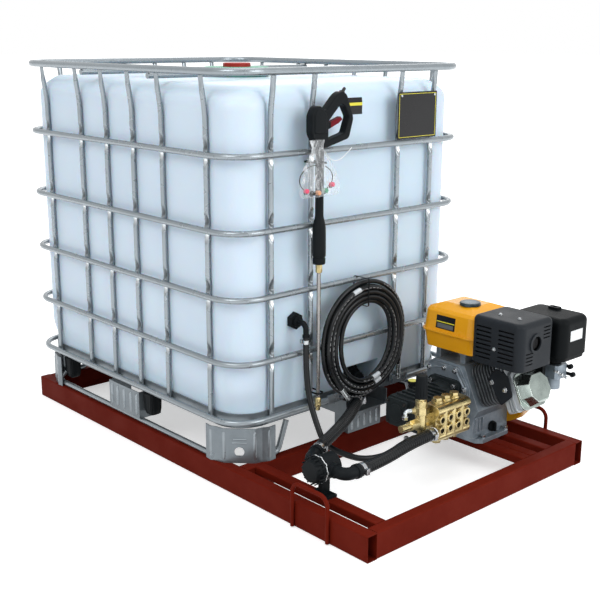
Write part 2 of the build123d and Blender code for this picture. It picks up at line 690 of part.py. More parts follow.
def muffler():
    """Silencer can under its cover, with its stub to the head."""
    x0, x1 = COVER_X
    y0, y1 = COVER_Y
    can = soft_box(x0 + 12, x1 - 14, y0 + 12, y1 - 12, COVER_Z[0] + 6, COVER_Z[1] - 18, 22, 14)
    can += rod((x1 - 30, TAIL_Y, TAIL_Z), (x1 - 4, TAIL_Y, TAIL_Z), 16)
    can += rod((STUB_X, STUB_Y, COVER_Z[0] - 4), (STUB_X, STUB_Y, COVER_Z[0] + 8), 15)
    for x in COVER_SCREWS:
        top = COVER_Z[1] - COVER_SHEET - SEAT_GAP
        can += rod((x, COVER_SCREW_Y, COVER_Z[1] - 24), (x, COVER_SCREW_Y, top), 8)
    return can


def muffler_cover():
    """Sheet cover over the silencer with louvres, short slots and an outlet."""
    x0, x1 = COVER_X
    y0, y1 = COVER_Y
    t = COVER_SHEET
    cover = soft_box(x0, x1, y0, y1, COVER_Z[0], COVER_Z[1], 24, 16)
    cover -= soft_box(x0 + t, x1 - t, y0 + t, y1 - t, COVER_Z[0] - 66, COVER_Z[1] - t, 22, 14)
    middle = (x0 + x1) / 2 - 4
    for x in (middle - 40, middle + 42):
        for k in range(8):
            z = COVER_Z[0] + 18 + 13.5 * k
            cover -= box(x - 28, x + 28, y0 - 5, y0 + 5, z, z + 5)
    for y, z in ((264, COVER_Z[1] - 58), (182, COVER_Z[0] + 18)):
        for k in range(4):
            cover -= box(x1 - 5, x1 + 5, y, y + 34, z + 11 * k, z + 11 * k + 4)
    cover += rod((x1 - t, TAIL_Y, TAIL_Z), (x1 + 4, TAIL_Y, TAIL_Z), 30)
    return cover - rod((x1 - 10, TAIL_Y, TAIL_Z), (x1 + 10, TAIL_Y, TAIL_Z), 22)


CLEANER_X = (TOTE_FRONT + 332, TOTE_FRONT + 523)
CLEANER_Y = (345, 486)
CLEANER_SEAM = 374
CLEANER_TOP = 495
CLIP_AT = (TOTE_FRONT + 415, 449)
CARB_X = TOTE_FRONT + 440
CARB_Y = 425
CARB_TOP = 330


def air_cleaner_base():
    """Lower half of the air cleaner with its duct down to the carburettor."""
    x0, x1 = CLEANER_X
    y0, y1 = CLEANER_Y
    base = Pos((x0 + x1) / 2, (y0 + y1) / 2, CLEANER_SEAM) * RectangleRounded(x1 - x0 - 8, y1 - y0 - 8, 26)
    base = extrude(base, -13, taper=10)
    return base + rod((CARB_X, CARB_Y, CARB_TOP), (CARB_X, CARB_Y, CLEANER_SEAM - 2), 24)


def air_cleaner_cover():
    """Upper half of the air cleaner with its clip on top."""
    x, y = CLIP_AT
    cover = soft_box(*CLEANER_X, *CLEANER_Y, CLEANER_SEAM, CLEANER_TOP, 30, 20)
    clip = extrude(Pos(x, y, CLEANER_TOP - 1) * RectangleRounded(38, 24, 6), 8)
    return cover + clip - rod((x, y, CLEANER_TOP + 4), (x, y, CLEANER_TOP + 8), 6)


def carburettor():
    """Carburettor body with its bowl and the stub to the head."""
    body = box(CARB_X - 32, CARB_X + 34, CARB_Y - 30, CARB_Y + 30, 286, CARB_TOP)
    body = chamfer(body.edges().filter_by(Axis.Z), 8)
    body += rod((CARB_X, CARB_Y, 248), (CARB_X, CARB_Y, 286), 24)
    body += rod((CARB_X - 20, PTO_Y + BORE_Y + 70, 292), (CARB_X - 20, CARB_Y - 30, 292), 12)
    return body


def lever_arm(x, y, z, length, knob):
    """Flat lever on the +Y side, hanging from its pivot towards +X."""
    arm = box(x, x + length, y, y + 5, z - 5, z + 5) + rod((x, y, z), (x, y + 5, z), 9)
    return arm + rod((x + length, y - 2, z), (x + length, y + 9, z), knob)


def choke_lever():
    """Choke lever on the carburettor."""
    return lever_arm(CARB_X + 6, CARB_Y + 30 + SEAT_GAP, 318, 34, 8)


def fuel_lever():
    """Fuel tap lever below the choke."""
    return lever_arm(CARB_X + 6, CARB_Y + 30 + SEAT_GAP, 294, 44, 8)


def throttle_lever():
    """Throttle lever on the shroud."""
    y = PTO_Y + CASE_DEPTH + SHROUD_DEPTH + SEAT_GAP
    x = CRANK_X + 60
    arm = box(x - 6, x + 6, y, y + 4, CRANK_Z + 112, CRANK_Z + 176)
    arm += rod((x, y, CRANK_Z + 112), (x, y + 4, CRANK_Z + 112), 11)
    return arm + box(x - 10, x + 10, y, y + 14, CRANK_Z + 170, CRANK_Z + 188)


def shroud_outline():
    """Outline of the fan shroud in crank coordinates."""
    lobe = [(-70, -107), (76, -119), (138, -90), (178, -42), (198, 4), (136, 150), (60, 160), (-60, 113)]
    return Circle(SHROUD_R) + make_face(Polyline(*lobe, close=True))


def fan_shroud():
    """Sheet shroud around the flywheel, open towards the engine."""
    v0 = CASE_DEPTH
    v1 = v0 + SHROUD_DEPTH
    shell = along_crank(shroud_outline(), v0, v1)
    shell -= along_crank(offset(shroud_outline(), -COVER_SHEET), v0 - 1, v1 - COVER_SHEET)
    opening = rod(engine_point(0, v0, 0), engine_point(0, v1 + 1, 0), STARTER_R - 8)
    web = along_crank(offset(shroud_outline(), -COVER_SHEET / 2), v0, v0 + COVER_SHEET)
    web -= rod(engine_point(0, v0 - 1, 0), engine_point(0, v0 + 5, 0), 60)
    return shell + web - opening + web


def flywheel():
    """Crankshaft with its flywheel and fan blades."""
    v = CASE_DEPTH + 6
    part = rod(engine_point(0, -60, 0), engine_point(0, 0, 0), NOSE_R)
    part += rod(engine_point(0, 0, 0), engine_point(0, v + 30, 0), SHAFT_R)
    part += rod(engine_point(0, v, 0), engine_point(0, v + 14, 0), 90)
    for k in range(12):
        blade = Rot(0, 30 * k, 0) * box(58, 88, -2, 12, -2, 2)
        part += Pos(*engine_point(0, v + 14, 0)) * blade
    return part


def starter_cover():
    """Dished starter cover with air slots and a rope guide."""
    v0 = CASE_DEPTH + SHROUD_DEPTH
    v1 = v0 + STARTER_DEPTH
    t = COVER_SHEET
    dish = rod(engine_point(0, v0, 0), engine_point(0, v1, 0), STARTER_R, STARTER_R - 14)
    dish = fillet(dish.edges().sort_by(Axis.Y)[-1], 10)
    mid = v0 + STARTER_DEPTH / 2
    dish += rod(engine_point(ROPE_U, mid, 58), engine_point(ROPE_U, mid, 92), 10)
    dish -= rod(engine_point(0, v0 - 1, 0), engine_point(0, v1 - t, 0), STARTER_R - t, STARTER_R - 14 - t)
    for k in range(8):
        slot = Rot(0, 45 * k + 22, 0) * box(44, 74, -8, 8, -5, 5)
        dish -= Pos(*engine_point(0, v1, 0)) * slot
    return dish - rod(engine_point(ROPE_U, mid, 40), engine_point(ROPE_U, mid, 93), ROPE_R + FREE_GAP)


def starter_grip():
    """Pull grip with the straight length of rope inside the starter."""
    mid = CASE_DEPTH + SHROUD_DEPTH + STARTER_DEPTH / 2
    x, y, z = engine_point(ROPE_U, mid, 92 + SEAT_GAP)
    grip = box(x - 44, x + 44, y - 10, y + 10, z + 6, z + 24)
    grip = fillet(grip.edges(), 6)
    grip += rod((x, y, z), (x, y, z + 8), 9)
    return grip + rod((x, y, z - 132), (x, y, z + 2), ROPE_R)


def stop_switch():
    """Rotary stop switch on the face of the shroud."""
    y = PTO_Y + CASE_DEPTH + SHROUD_DEPTH + SEAT_GAP
    x = CRANK_X + 118
    z = CRANK_Z + 30
    knob = rod((x, y, z), (x, y + 10, z), 14)
    return knob + box(x - 4, x + 4, y + 9, y + 18, z - 13, z + 13)


def oil_dipstick():
    """Oil filler plug low on the crankcase."""
    start = engine_point(CASE_FACE + SEAT_GAP, PLUG_V, -98)
    plug = rod(start, (start[0] + 8, start[1], start[2]), 17)
    plug += rod((start[0] - 22, start[1], start[2]), start, 11 - FREE_GAP)
    return plug + box(start[0] + 7, start[0] + 18, start[1] - 4, start[1] + 4, start[2] - 14, start[2] + 14)


# Pump


def pump_crankcase():
    """Finned pump crankcase and its adaptor to the engine."""
    x0 = TOTE_FRONT + 150
    case = box(x0, HEAD_X, PUMP_FACE_Y, PUMP_BODY_Y, 160, 256)
    case = chamfer(case.edges().filter_by(Axis.Y), 14)
    for k in range(6):
        y = PUMP_FACE_Y + 14 + 24 * k
        case += box(x0 + 26, HEAD_X - 18, y, y + 5, 254, 264)
    adaptor = along_crank(Circle(54), PUMP_BODY_Y - PTO_Y, -14)
    adaptor += along_crank(RectangleRounded(126, 126, 22), -14, 0)
    case += adaptor
    return case - rod(engine_point(0, -64, 0), engine_point(0, 1, 0), NOSE_R + RUN_GAP)


def pump_end_cover():
    """Square bearing cover on the near end of the pump."""
    v = PUMP_FACE_Y - PTO_Y
    cover = along_crank(RectangleRounded(84, 84, 12), v - 10, v)
    return cover + rod(engine_point(0, v - 14, 0), engine_point(0, v - 9, 0), 27)


def pump_head():
    """Brass pump head with valve towers, bolt bosses, a manifold above and below and its inlet."""
    x1 = HEAD_X + HEAD_DEPTH
    face = x1 - HEAD_STEP
    head = box(HEAD_X, face, HEAD_Y[0], HEAD_Y[1], HEAD_Z[0], HEAD_Z[1])
    head = chamfer(head.edges().filter_by(Axis.Y), 9)
    for y in TOWER_YS:
        head += rod((x1 - 40, y, HEAD_Z[0] - 5), (x1 - 40, y, HEAD_Z[1] + 5), 18)
        head += rod((face - 2, y, HEAD_Z[0] + 12), (face - 2, y, HEAD_Z[1] - 12), 14)
    for z in (HEAD_Z[0] + 15, HEAD_Z[1] - 17):
        head += rod((face - 3, HEAD_Y[0], z), (face - 3, HEAD_Y[1], z), 15)
    for y, z in product(HEAD_BOLT_YS, HEAD_BOLT_ZS):
        head += rod((face - 4, y, z), (x1, y, z), 13)
    for y, z in product(HEAD_BOLT_YS, HEAD_BOLT_ZS):
        head -= rod((x1 - HEAD_BOLT_SINK, y, z), (x1 + 1, y, z), HEAD_BOLT_R + 1)
    head += hexagon((INLET_X, HEAD_Y[0] - 12, INLET_Z), (INLET_X, HEAD_Y[0], INLET_Z), 34)
    return head


def pump_head_plugs():
    """Hexagon valve plugs above and below the head and the sunk bolts in its face."""
    x = HEAD_X + HEAD_DEPTH
    plugs = []
    for y in TOWER_YS:
        plugs.append(hexagon((x - 40, y, HEAD_Z[1] + 5), (x - 40, y, HEAD_Z[1] + 15), 26))
        plugs.append(hexagon((x - 40, y, HEAD_Z[0] - 5), (x - 40, y, HEAD_Z[0] - 15), 26))
    for y, z in product(HEAD_BOLT_YS, HEAD_BOLT_ZS):
        bolt = rod((x - HEAD_BOLT_SINK, y, z), (x - 4, y, z), HEAD_BOLT_R)
        plugs.append(bolt - hexagon((x - 8, y, z), (x, y, z), 7))
    return group(plugs)


def unloader_body():
    """Pressure regulator column with its outlet nipple and return elbow."""
    x, y = UNLOADER_X, UNLOADER_Y
    body = rod((x, y, 192), (x, y, UNLOADER_TOP - 8), 17)
    body += hexagon((x, y, 240), (x, y, 262), 36)
    body += rod((x, y, UNLOADER_TOP - 9), (x, y, UNLOADER_TOP), 12)
    body += box(x - 14, x + 14, y, HEAD_Y[0], 200, 238)
    body += hexagon((x, y - 15, OUTLET_Z), (x, y - 48, OUTLET_Z), 28)
    body += rod((x, y - 48, OUTLET_Z), (x, OUTLET_TIP_Y, OUTLET_Z), OUTLET_R)
    body += pipe(FilletPolyline((x, y, 196), (x, y, 168), (x, y - 32, 168), radius=14), BYPASS_R - 1)
    body += rod((x, y - 24, 168), (x, y - 32, 168), BYPASS_R + 2)
    return body + rod((x, y, RELIEF_Z), (x - 15, y - 22, RELIEF_Z), 8)


def unloader_knob():
    """Fluted pressure knob on the regulator."""
    x, y = UNLOADER_X, UNLOADER_Y
    z = UNLOADER_TOP + SEAT_GAP
    knob = rod((x, y, z), (x, y, z + 70), 18.5, 17)
    knob = fillet(knob.edges().sort_by(Axis.Z)[-1], 4)
    for k in range(12):
        groove = Rot(0, 0, 30 * k) * rod((18.6, 0, z + 8), (18.6, 0, z + 60), 1.8)
        knob -= Pos(x, y, 0) * groove
    return knob


def pump_oil_cap():
    """Oil filler cap on the pump."""
    x = TOTE_FRONT + 165
    z = 256 + SEAT_GAP
    cap = rod((x, 75, z), (x, 75, z + 14), 11)
    return cap + rod((x, 75, z + 14), (x, 75, z + 24), 14)


def relief_elbow():
    """Heat relief outlet pointing down beside the regulator."""
    x, y = UNLOADER_X, UNLOADER_Y
    corner = (x - 26, y - 22 * 26 / 15)
    points = [(x - 15, y - 22, RELIEF_Z), corner + (RELIEF_Z,), corner + (RELIEF_Z - 26,)]
    path = FilletPolyline(*points, radius=9)
    return pipe(path, 6.5) + hexagon(points[2], corner + (RELIEF_Z - 16,), 17)


# Filter


def filter_head():
    """Filter head with its ports and the bracket to its rail."""
    head = rod((FILTER_X, FILTER_Y + 34, FILTER_Z), (FILTER_X, FILTER_Y - 22, FILTER_Z), 36)
    head += rod((FILTER_X - 36, FILTER_Y, FILTER_Z + 4), (FILTER_X, FILTER_Y, FILTER_Z + 4), 22)
    head += rod((FILTER_X, FILTER_Y, FILTER_Z + 2), (FILTER_X + 36, FILTER_Y, FILTER_Z + 2), 22)
    low = RAIL_HEIGHT
    head += box(FILTER_X - 9, FILTER_X + 9, FILTER_Y - 14, FILTER_Y + 14, low, FILTER_Z - 30)
    return head + box(FILTER_X - 34, FILTER_X + 34, FILTER_Y - 18, FILTER_Y + 18, low, low + 8)


def filter_bowl():
    """Screw-on bowl of the filter, facing the near side."""
    y = FILTER_Y - 22 - SEAT_GAP
    bowl = rod((FILTER_X, y, FILTER_Z), (FILTER_X, y - 14, FILTER_Z), 38)
    bowl += rod((FILTER_X, y - 14, FILTER_Z), (FILTER_X, y - 34, FILTER_Z), 36, 30)
    for spot in PolarLocations(38, 10):
        bowl += Pos(FILTER_X, y, FILTER_Z) * Rot(90, 0, 0) * spot * Pos(0, 0, 7) * Box(5, 8, 14)
    return bowl


# Hoses


def ribbed_hose(path, ribs, cuff):
    """Hose with a bore, plain ends and a steady row of ribs between them."""
    length = path.length

    def section(distance, radius):
        """Circle square to the path on a steady X axis."""
        share = distance / length
        spot = path @ share
        ahead = path % share
        across = ahead.cross(Vector(0, 0, 1))
        return Plane(origin=spot, x_dir=across, z_dir=ahead) * Circle(radius)

    stops = [(0, SUCTION_R), (cuff, SUCTION_R)]
    pitch = (length - 2 * cuff) / ribs
    for k in range(ribs):
        at = cuff + k * pitch
        stops.append((at + 0.12 * pitch, SUCTION_ROOT))
        stops.append((at + 0.50 * pitch, SUCTION_ROOT))
        stops.append((at + 0.62 * pitch, SUCTION_R))
        stops.append((at + 1.00 * pitch, SUCTION_R))
    stops.append((length, SUCTION_R))
    outside = loft([section(d, r) for d, r in stops], ruled=True)
    return outside - pipe(path, SUCTION_BORE)


def tank_hose_path():
    """Route of the hose from the tank valve to the filter."""
    tank, inlet, outlet = elbow_ends()
    first = Vector(*tank) + TANK_ELBOW_DIR * 55
    last = Vector(*inlet) + FILTER_IN_DIR * 57
    middle = [(TOTE_FRONT + 64, -113, 169), (TOTE_FRONT + 116, -210, 170)]
    points = [tank, tuple(first), *middle, tuple(last), inlet]
    return route(points, "tank hose")


def pump_hose_path():
    """Route of the hose from the filter to the pump."""
    tank, inlet, outlet = elbow_ends()
    end = (INLET_X, HEAD_Y[0] - 12, INLET_Z)
    points = [outlet, (outlet[0], outlet[1] + 86, outlet[2]), (end[0], end[1] - 80, end[2]), end]
    return route(points, "pump hose")


def bypass_path():
    """Route of the return hose from the regulator to the tank fitting."""
    x = TOTE_FRONT
    end = (UNLOADER_X, UNLOADER_Y - 32, 168)
    points = [(x + 16, -241, 448), (x + 16, -241, 405), (x + 24, -246, 338), (x + 42, -252, 268)]
    points += [(x + 70, -252, 206), (x + 108, -250, 136), (x + 185, -238, 124), (x + 250, -224, 126)]
    points += [(x + 295, -174, 140), (end[0], end[1] - 42, end[2]), end]
    return route(points, "return hose")


def suction_hose_tank():
    """Ribbed hose from the tank valve to the filter."""
    return ribbed_hose(tank_hose_path(), 34, 34)


def suction_hose_pump():
    """Ribbed hose from the filter to the pump."""
    return ribbed_hose(pump_hose_path(), 30, 34)


def bypass_hose():
    """Plain return hose."""
    return pipe(bypass_path(), BYPASS_R)


def bypass_fitting():
    """Return fitting through the tank wall with its elbow."""
    x = TOTE_FRONT + 16
    wall = TOTE_FRONT - BOTTLE_INSET
    y, z = -241, 490
    fitting = hexagon((wall, y, z), (wall + 16, y, z), 46)
    fitting += rod((wall + 16, y, z), (wall + 26, y, z), 17)
    path = FilletPolyline((wall + 26, y, z), (x, y, z), (x, y, 448), radius=20)
    fitting += pipe(path, BYPASS_R - 0.5)
    return fitting + rod((x, y, 448), (x, y, 456), BYPASS_R + 2)


def clamp(path, at, radius, side):
    """Band clamp around a hose; its screw housing sits on the given side, 1 or -1."""
    share = at / path.length
    ahead = path % share
    place = Plane(origin=path @ share, z_dir=ahead, x_dir=ahead.cross(Vector(1, 0, 0)))
    inner = radius + SEAT_GAP
    band = Circle(inner + CLAMP_BAND) - Circle(inner)
    band = extrude(place * band, CLAMP_WIDTH / 2, both=True)
    screw = place * Pos(0, side * (inner + CLAMP_BAND + 3.5), 0) * Box(18, 8, CLAMP_WIDTH)
    return band + screw - extrude(place * Circle(inner), CLAMP_WIDTH, both=True)


def hose_clamps():
    """Band clamps at the ends of the hoses."""
    bands = []
    hoses = [(tank_hose_path(), SUCTION_R, -1), (pump_hose_path(), SUCTION_R, -1)]
    hoses.append((bypass_path(), BYPASS_R, 1))
    for path, radius, side in hoses:
        bands.append(clamp(path, 14, radius, side))
        bands.append(clamp(path, path.length - 14, radius, side))
    return group(bands)


def fasteners():
    """Foot bolts and pump flange bolts of the engine."""
    bolts = []
    top = RAIL_HEIGHT + FOOT_THICK
    for u in (-95, 120):
        for y in ENGINE_RAIL_YS[0:1] + ENGINE_RAIL_YS[2:3]:
            bolts.append(hexagon((CRANK_X + u, y, top), (CRANK_X + u, y, top + 8), 16))
    half = FLANGE_BOLTS / 2
    for u in (-half, half):
        for w in (-half, half):
            bolts.append(hexagon(engine_point(u, -24, w), engine_point(u, -14, w), 14))
    return group(bolts)


# Coil


def coil_path():
    """Two flat layers of oval turns: in on the back layer, out again on the front layer."""
    back = TOTE_FRONT + COIL_BACK + HOSE_R
    front = back + COIL_LAYER
    top = COIL_Z + COIL_STRAIGHT
    low = COIL_Z - COIL_STRAIGHT
    step = COIL_PITCH / 2
    halves = 2 * COIL_TURNS
    inner = COIL_OUTER - step * halves
    reach = [COIL_OUTER - step * k for k in range(halves + 1)]
    reach += [inner - step] + [inner + step * k for k in range(1, halves - 1)]
    edges = []
    tail = (back, COIL_Y + COIL_OUTER, low - 90)
    edges.append(Line(tail, (back, COIL_Y + COIL_OUTER, top)))
    for k in range(len(reach) - 1):
        sign = 1 if k % 2 == 0 else -1
        level = top if k % 2 == 0 else low
        x0 = back if k <= halves else front
        x1 = back if k + 1 <= halves else front
        y0 = COIL_Y + sign * reach[k]
        y1 = COIL_Y - sign * reach[k + 1]
        crown = level + sign * (reach[k] + reach[k + 1]) / 2
        edges.append(ThreePointArc((x0, y0, level), ((x0 + x1) / 2, (y0 + y1) / 2, crown), (x1, y1, level)))
        other = low if sign > 0 else top
        edges.append(Line((x1, y1, level), (x1, y1, other)))
    start = COIL_Y - reach[-1]
    swing = [math.radians(180 + a) for a in (0, COIL_END_TURN / 2, COIL_END_TURN)]
    mid = start + COIL_OUTER
    arc = [(front, mid + COIL_OUTER * math.cos(a), low + COIL_OUTER * math.sin(a)) for a in swing]
    edges.append(ThreePointArc(*arc))
    ahead = Vector(0, -math.sin(swing[2]), math.cos(swing[2]))
    edges.append(Line(arc[2], tuple(Vector(*arc[2]) + ahead * 2 * HOSE_R)))
    return Wire(edges)


def least_gap(path):
    """Smallest gap between turns of the coil, measured on points."""
    count = 2400
    spots = [path @ (k / count) for k in range(count + 1)]
    skip = int(8 * HOSE_R / (path.length / count))
    grid = {}
    for k, p in enumerate(spots):
        grid.setdefault((int(p.X // 20), int(p.Y // 20), int(p.Z // 20)), []).append(k)
    best = 1e9
    for (i, j, m), members in grid.items():
        near = []
        for a, b, c in product((-1, 0, 1), repeat=3):
            near += grid.get((i + a, j + b, m + c), [])
        for k in members:
            for n in near:
                if n - k > skip:
                    best = min(best, (spots[k] - spots[n]).length)
    return best - 2 * HOSE_R


def pressure_hose():
    """Pressure hose coiled on the front of the cage."""
    path = coil_path()
    print("pressure hose length", round(path.length), "least gap", round(least_gap(path), 2))
    return pipe(path, HOSE_R)


def hose_ferrules():
    """Crimped end fittings of the pressure hose."""
    path = coil_path()
    ends = []
    for share, sign in ((0, -1), (1, 1)):
        spot = path @ share
        ahead = (path % share) * sign
        mid = spot + ahead * 34
        ends.append(rod(tuple(spot), tuple(mid), 8) + hexagon(tuple(mid), tuple(mid + ahead * 16), 13.5))
    return group(ends)


# Gun and lance


def gun_outline(points):
    """Face in the plane of Y and Z, at the back of the gun."""
    x = LANCE_X - GUN_THICK / 2
    return make_face(Polyline(*[(x, y, z) for y, z in points], close=True))


def gun_body():
    """Trigger gun with its guard, handle and inlet nut."""
    shape = [(-233, 1046), (-233, 1104), (-220, 1127), (-200, 1128), (-186, 1112), (-136, 1166), (-118, 1174)]
    shape += [(-104, 1160), (-82, 1090), (-98, 1036), (-186, GUN_BOTTOM), (-214, GUN_BOTTOM)]
    window = [(-176, 1030), (-176, 1086), (-134, 1128), (-122, 1120), (-104, 1088), (-114, 1050)]
    gun = extrude(gun_outline(shape), GUN_THICK, dir=(1, 0, 0))
    gun -= Pos(-1, 0, 0) * extrude(gun_outline(window), GUN_THICK + 2, dir=(1, 0, 0))
    gun += box(LANCE_X - 19, LANCE_X + 19, -230, -180, 1050, 1106)
    slot = box(LANCE_X - 7 - FREE_GAP, LANCE_X + 7 + FREE_GAP, -200, -170, 1042, 1090)
    return gun - slot + hexagon((LANCE_X, -122, 1160), (LANCE_X, -106, 1180), 20)


def gun_trigger():
    """Trigger that squeezes up towards the handle."""
    x = LANCE_X - 7
    shape = [(-196, 1054), (-196, 1070), (-172, 1076), (-120, 1094), (-112, 1086), (-126, 1076), (-172, 1058)]
    bar = make_face(Polyline(*[(x, y, z) for y, z in shape], close=True))
    return extrude(bar, 14, dir=(1, 0, 0))


def lance():
    """Lance: neck and grip, coupling, steel tube and nozzle holder."""
    x, y = LANCE_X, LANCE_Y
    grip = rod((x, y, 871), (x, y, GUN_BOTTOM), 12.5)
    grip += rod((x, y, 840), (x, y, 871), GRIP_R, 12.5)
    grip += rod((x, y, 682), (x, y, 840), GRIP_R)
    grip += rod((x, y, 666), (x, y, 682), 15, GRIP_R)
    coupling = hexagon((x, y, 640), (x, y, 666), 19)
    tube = rod((x, y, 250), (x, y, 640), 6)
    holder = rod((x, y, 220), (x, y, 250), 10) + rod((x, y, 208), (x, y, 220), 7.5)
    return group([grip, coupling, tube, holder])


BAG_X = LANCE_X + 14.2
BAG_DEPTH = 34.0
BAG_Y = -218.0
BAG_BOTTOM = 872.0
BAG_WALL = 1.5


def nozzle_set():
    """Spray nozzles threaded on a wire ring."""
    x = BAG_X + BAG_DEPTH / 2
    z = BAG_BOTTOM + BAG_WALL + 6.5
    part = Pos(x, BAG_Y, z + 40) * Rot(0, 90, 0) * Torus(40, 1.5)
    for angle in (-62, -38, -14, 12, 38):
        y = BAG_Y + 40 * math.sin(math.radians(angle))
        h = z + 40 - 40 * math.cos(math.radians(angle))
        part += rod((x - 12, y, h), (x + 12, y, h), 7)
    return part


def nozzle_bag():
    """Clear bag around the nozzles, tied at its neck."""
    middle = Pos(BAG_X + BAG_DEPTH / 2, BAG_Y, 0)
    lower = Pos(0, 0, BAG_BOTTOM) * RectangleRounded(BAG_DEPTH, 150, 14)
    bag = extrude(middle * lower, 116)
    inside = Pos(0, 0, BAG_BOTTOM + BAG_WALL) * RectangleRounded(BAG_DEPTH - 2 * BAG_WALL, 147, 13)
    bag -= extrude(middle * inside, 116 - 2 * BAG_WALL)
    bag += extrude(middle * Pos(0, 0, BAG_BOTTOM + 116) * RectangleRounded(26, 90, 12), 24)
    return bag + extrude(middle * Pos(0, 0, BAG_BOTTOM + 140) * RectangleRounded(18, 44, 8), 24)


def tie(x0, x1, z0, z1, y, corner):
    """Flat tie wrapped around what lies between two heights, seen along Y."""
    place = Plane(origin=((x0 + x1) / 2, y, (z0 + z1) / 2), x_dir=(1, 0, 0), z_dir=(0, 1, 0))
    outer = RectangleRounded(x1 - x0 + 2 * TIE_BAND, z1 - z0 + 2 * TIE_BAND, corner + TIE_BAND)
    return extrude(place * (outer - RectangleRounded(x1 - x0, z1 - z0, corner)), TIE_WIDTH / 2, both=True)


def level_tie(x0, x1, y0, y1, z, corner):
    """Flat tie wrapped around upright bars, seen from above."""
    place = Pos((x0 + x1) / 2, (y0 + y1) / 2, z)
    outer = RectangleRounded(x1 - x0 + 2 * TIE_BAND, y1 - y0 + 2 * TIE_BAND, corner + TIE_BAND)
    return extrude(place * (outer - RectangleRounded(x1 - x0, y1 - y0, corner)), TIE_WIDTH / 2, both=True)


def cable_ties():
    """Ties that hold the coil, the lance, the gun and the bag on the cage."""
    g = SEAT_GAP
    hoop_back = TOTE_FRONT - HOOP_D - g
    front = TOTE_FRONT + COIL_BACK + 2 * HOSE_R + COIL_LAYER + g
    crown = COIL_Z + COIL_STRAIGHT + COIL_OUTER + HOSE_R
    hoop = HOOP_HEIGHTS[1]
    top = max(crown, hoop + HOOP_D / 2) + g
    inner = COIL_Z + COIL_STRAIGHT + COIL_OUTER - 7 * COIL_PITCH / 2 - 3 * HOSE_R
    ties = [tie(hoop_back, front, inner, top, COIL_Y - 4, 5)]
    upright_y = FRONT_UPRIGHTS[1]
    upright_back = TOTE_FRONT - HOOP_D - UPRIGHT_D - 2 * g
    for z, r in ((262, 6), (965, 12.5)):
        y0 = LANCE_Y - r - g
        y1 = upright_y + UPRIGHT_D / 2 + g
        ties.append(level_tie(upright_back, LANCE_X + r + g, y0, y1, z, 6))
    return group(ties)


BUILDERS = [
    side_rails, cross_rails, lifting_loops, pallet_tray, pallet_legs, pallet_runners, leg_spacers,
    cage_hoops, cage_base_rail, cage_top_rail, cage_uprights, tote_bottle, tote_lid, vent_cap,
    valve_body, valve_lever, pipe_elbows, engine_crankcase, cylinder, rocker_cover, fuel_tank, fuel_cap,
    muffler, muffler_cover, air_cleaner_base, air_cleaner_cover, carburettor, choke_lever, fuel_lever,
    throttle_lever, fan_shroud, flywheel, starter_cover, starter_grip, stop_switch, oil_dipstick,
    pump_crankcase, pump_end_cover, pump_head, pump_head_plugs, unloader_body, unloader_knob,
    pump_oil_cap, relief_elbow, filter_head, filter_bowl, suction_hose_tank, suction_hose_pump,
    bypass_hose, bypass_fitting, hose_clamps, fasteners, gun_body, gun_trigger, lance, pressure_hose,
    hose_ferrules, nozzle_set, nozzle_bag, cable_ties,
]

os.makedirs("parts", exist_ok=True)
for builder in BUILDERS:
    export_step(builder(), "parts/" + builder.__name__ + ".step")
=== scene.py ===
"""Looks of a skid-mounted pressure washer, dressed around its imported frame."""

import logging
import math
from collections.abc import Callable
from dataclasses import dataclass, field
from enum import Enum
from functools import partial

import bmesh
import bpy
from bpy.types import Material, Mesh, Node, NodeSocket, NodeTree, Object
from mathutils import Matrix, Vector

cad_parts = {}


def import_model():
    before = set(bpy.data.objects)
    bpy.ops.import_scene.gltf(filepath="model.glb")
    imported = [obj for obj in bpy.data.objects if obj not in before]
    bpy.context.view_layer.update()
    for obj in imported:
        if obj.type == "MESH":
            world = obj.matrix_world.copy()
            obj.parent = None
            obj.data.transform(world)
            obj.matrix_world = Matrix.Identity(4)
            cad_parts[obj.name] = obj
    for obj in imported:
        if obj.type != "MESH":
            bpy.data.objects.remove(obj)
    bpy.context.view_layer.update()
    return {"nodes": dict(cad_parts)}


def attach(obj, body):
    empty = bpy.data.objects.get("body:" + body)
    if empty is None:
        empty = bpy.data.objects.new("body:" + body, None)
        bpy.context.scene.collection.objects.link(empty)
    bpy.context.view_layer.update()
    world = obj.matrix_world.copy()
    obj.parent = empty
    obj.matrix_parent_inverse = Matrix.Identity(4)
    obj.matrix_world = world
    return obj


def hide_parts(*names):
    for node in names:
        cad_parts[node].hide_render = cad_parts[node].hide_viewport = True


log = logging.getLogger("pressure_washer")

Point = tuple[float, float, float]
Colour = tuple[float, float, float]
Pair = tuple[float, float]
Pairs = tuple[Pair, ...]
Row = tuple[float, ...]
Spot = tuple[Vector, Vector]

FRONT = 0.33825
"""Front face of the caged tank, in metres along X."""

AHEAD, ACROSS, UP = (Vector(way) for way in ((1.0, 0.0, 0.0), (0.0, 1.0, 0.0), (0.0, 0.0, 1.0)))
"""Directions of the shared frame: from the tank to the engine, across the skid and up."""

STATIC = "skid"
"""Body that carries every piece that doesn't move."""

SHAFT_X = 198.0
"""Distance of the engine's shaft ahead of the tank's front face, in millimetres."""

SHAFT_Z = 209.0
"""Height of the engine's shaft, in millimetres."""

BORE_TILT = math.radians(25.0)
"""How far the engine's cylinder leans from level."""

LANCE_X = FRONT + 0.0206
"""Plane in which the gun and the lance hang, in metres along X."""


def from_front(x: float, y: float, z: float) -> Point:
    """Point in metres from millimetres ahead of the tank's front face, across the skid and up."""
    return (FRONT + x / 1000.0, y / 1000.0, z / 1000.0)


def rectangle(low: Pair, high: Pair) -> list[Pair]:
    """Corners of a rectangle in order, from its lowest and its highest corner."""
    return [tuple(low), (high[0], low[1]), tuple(high), (low[0], high[1])]


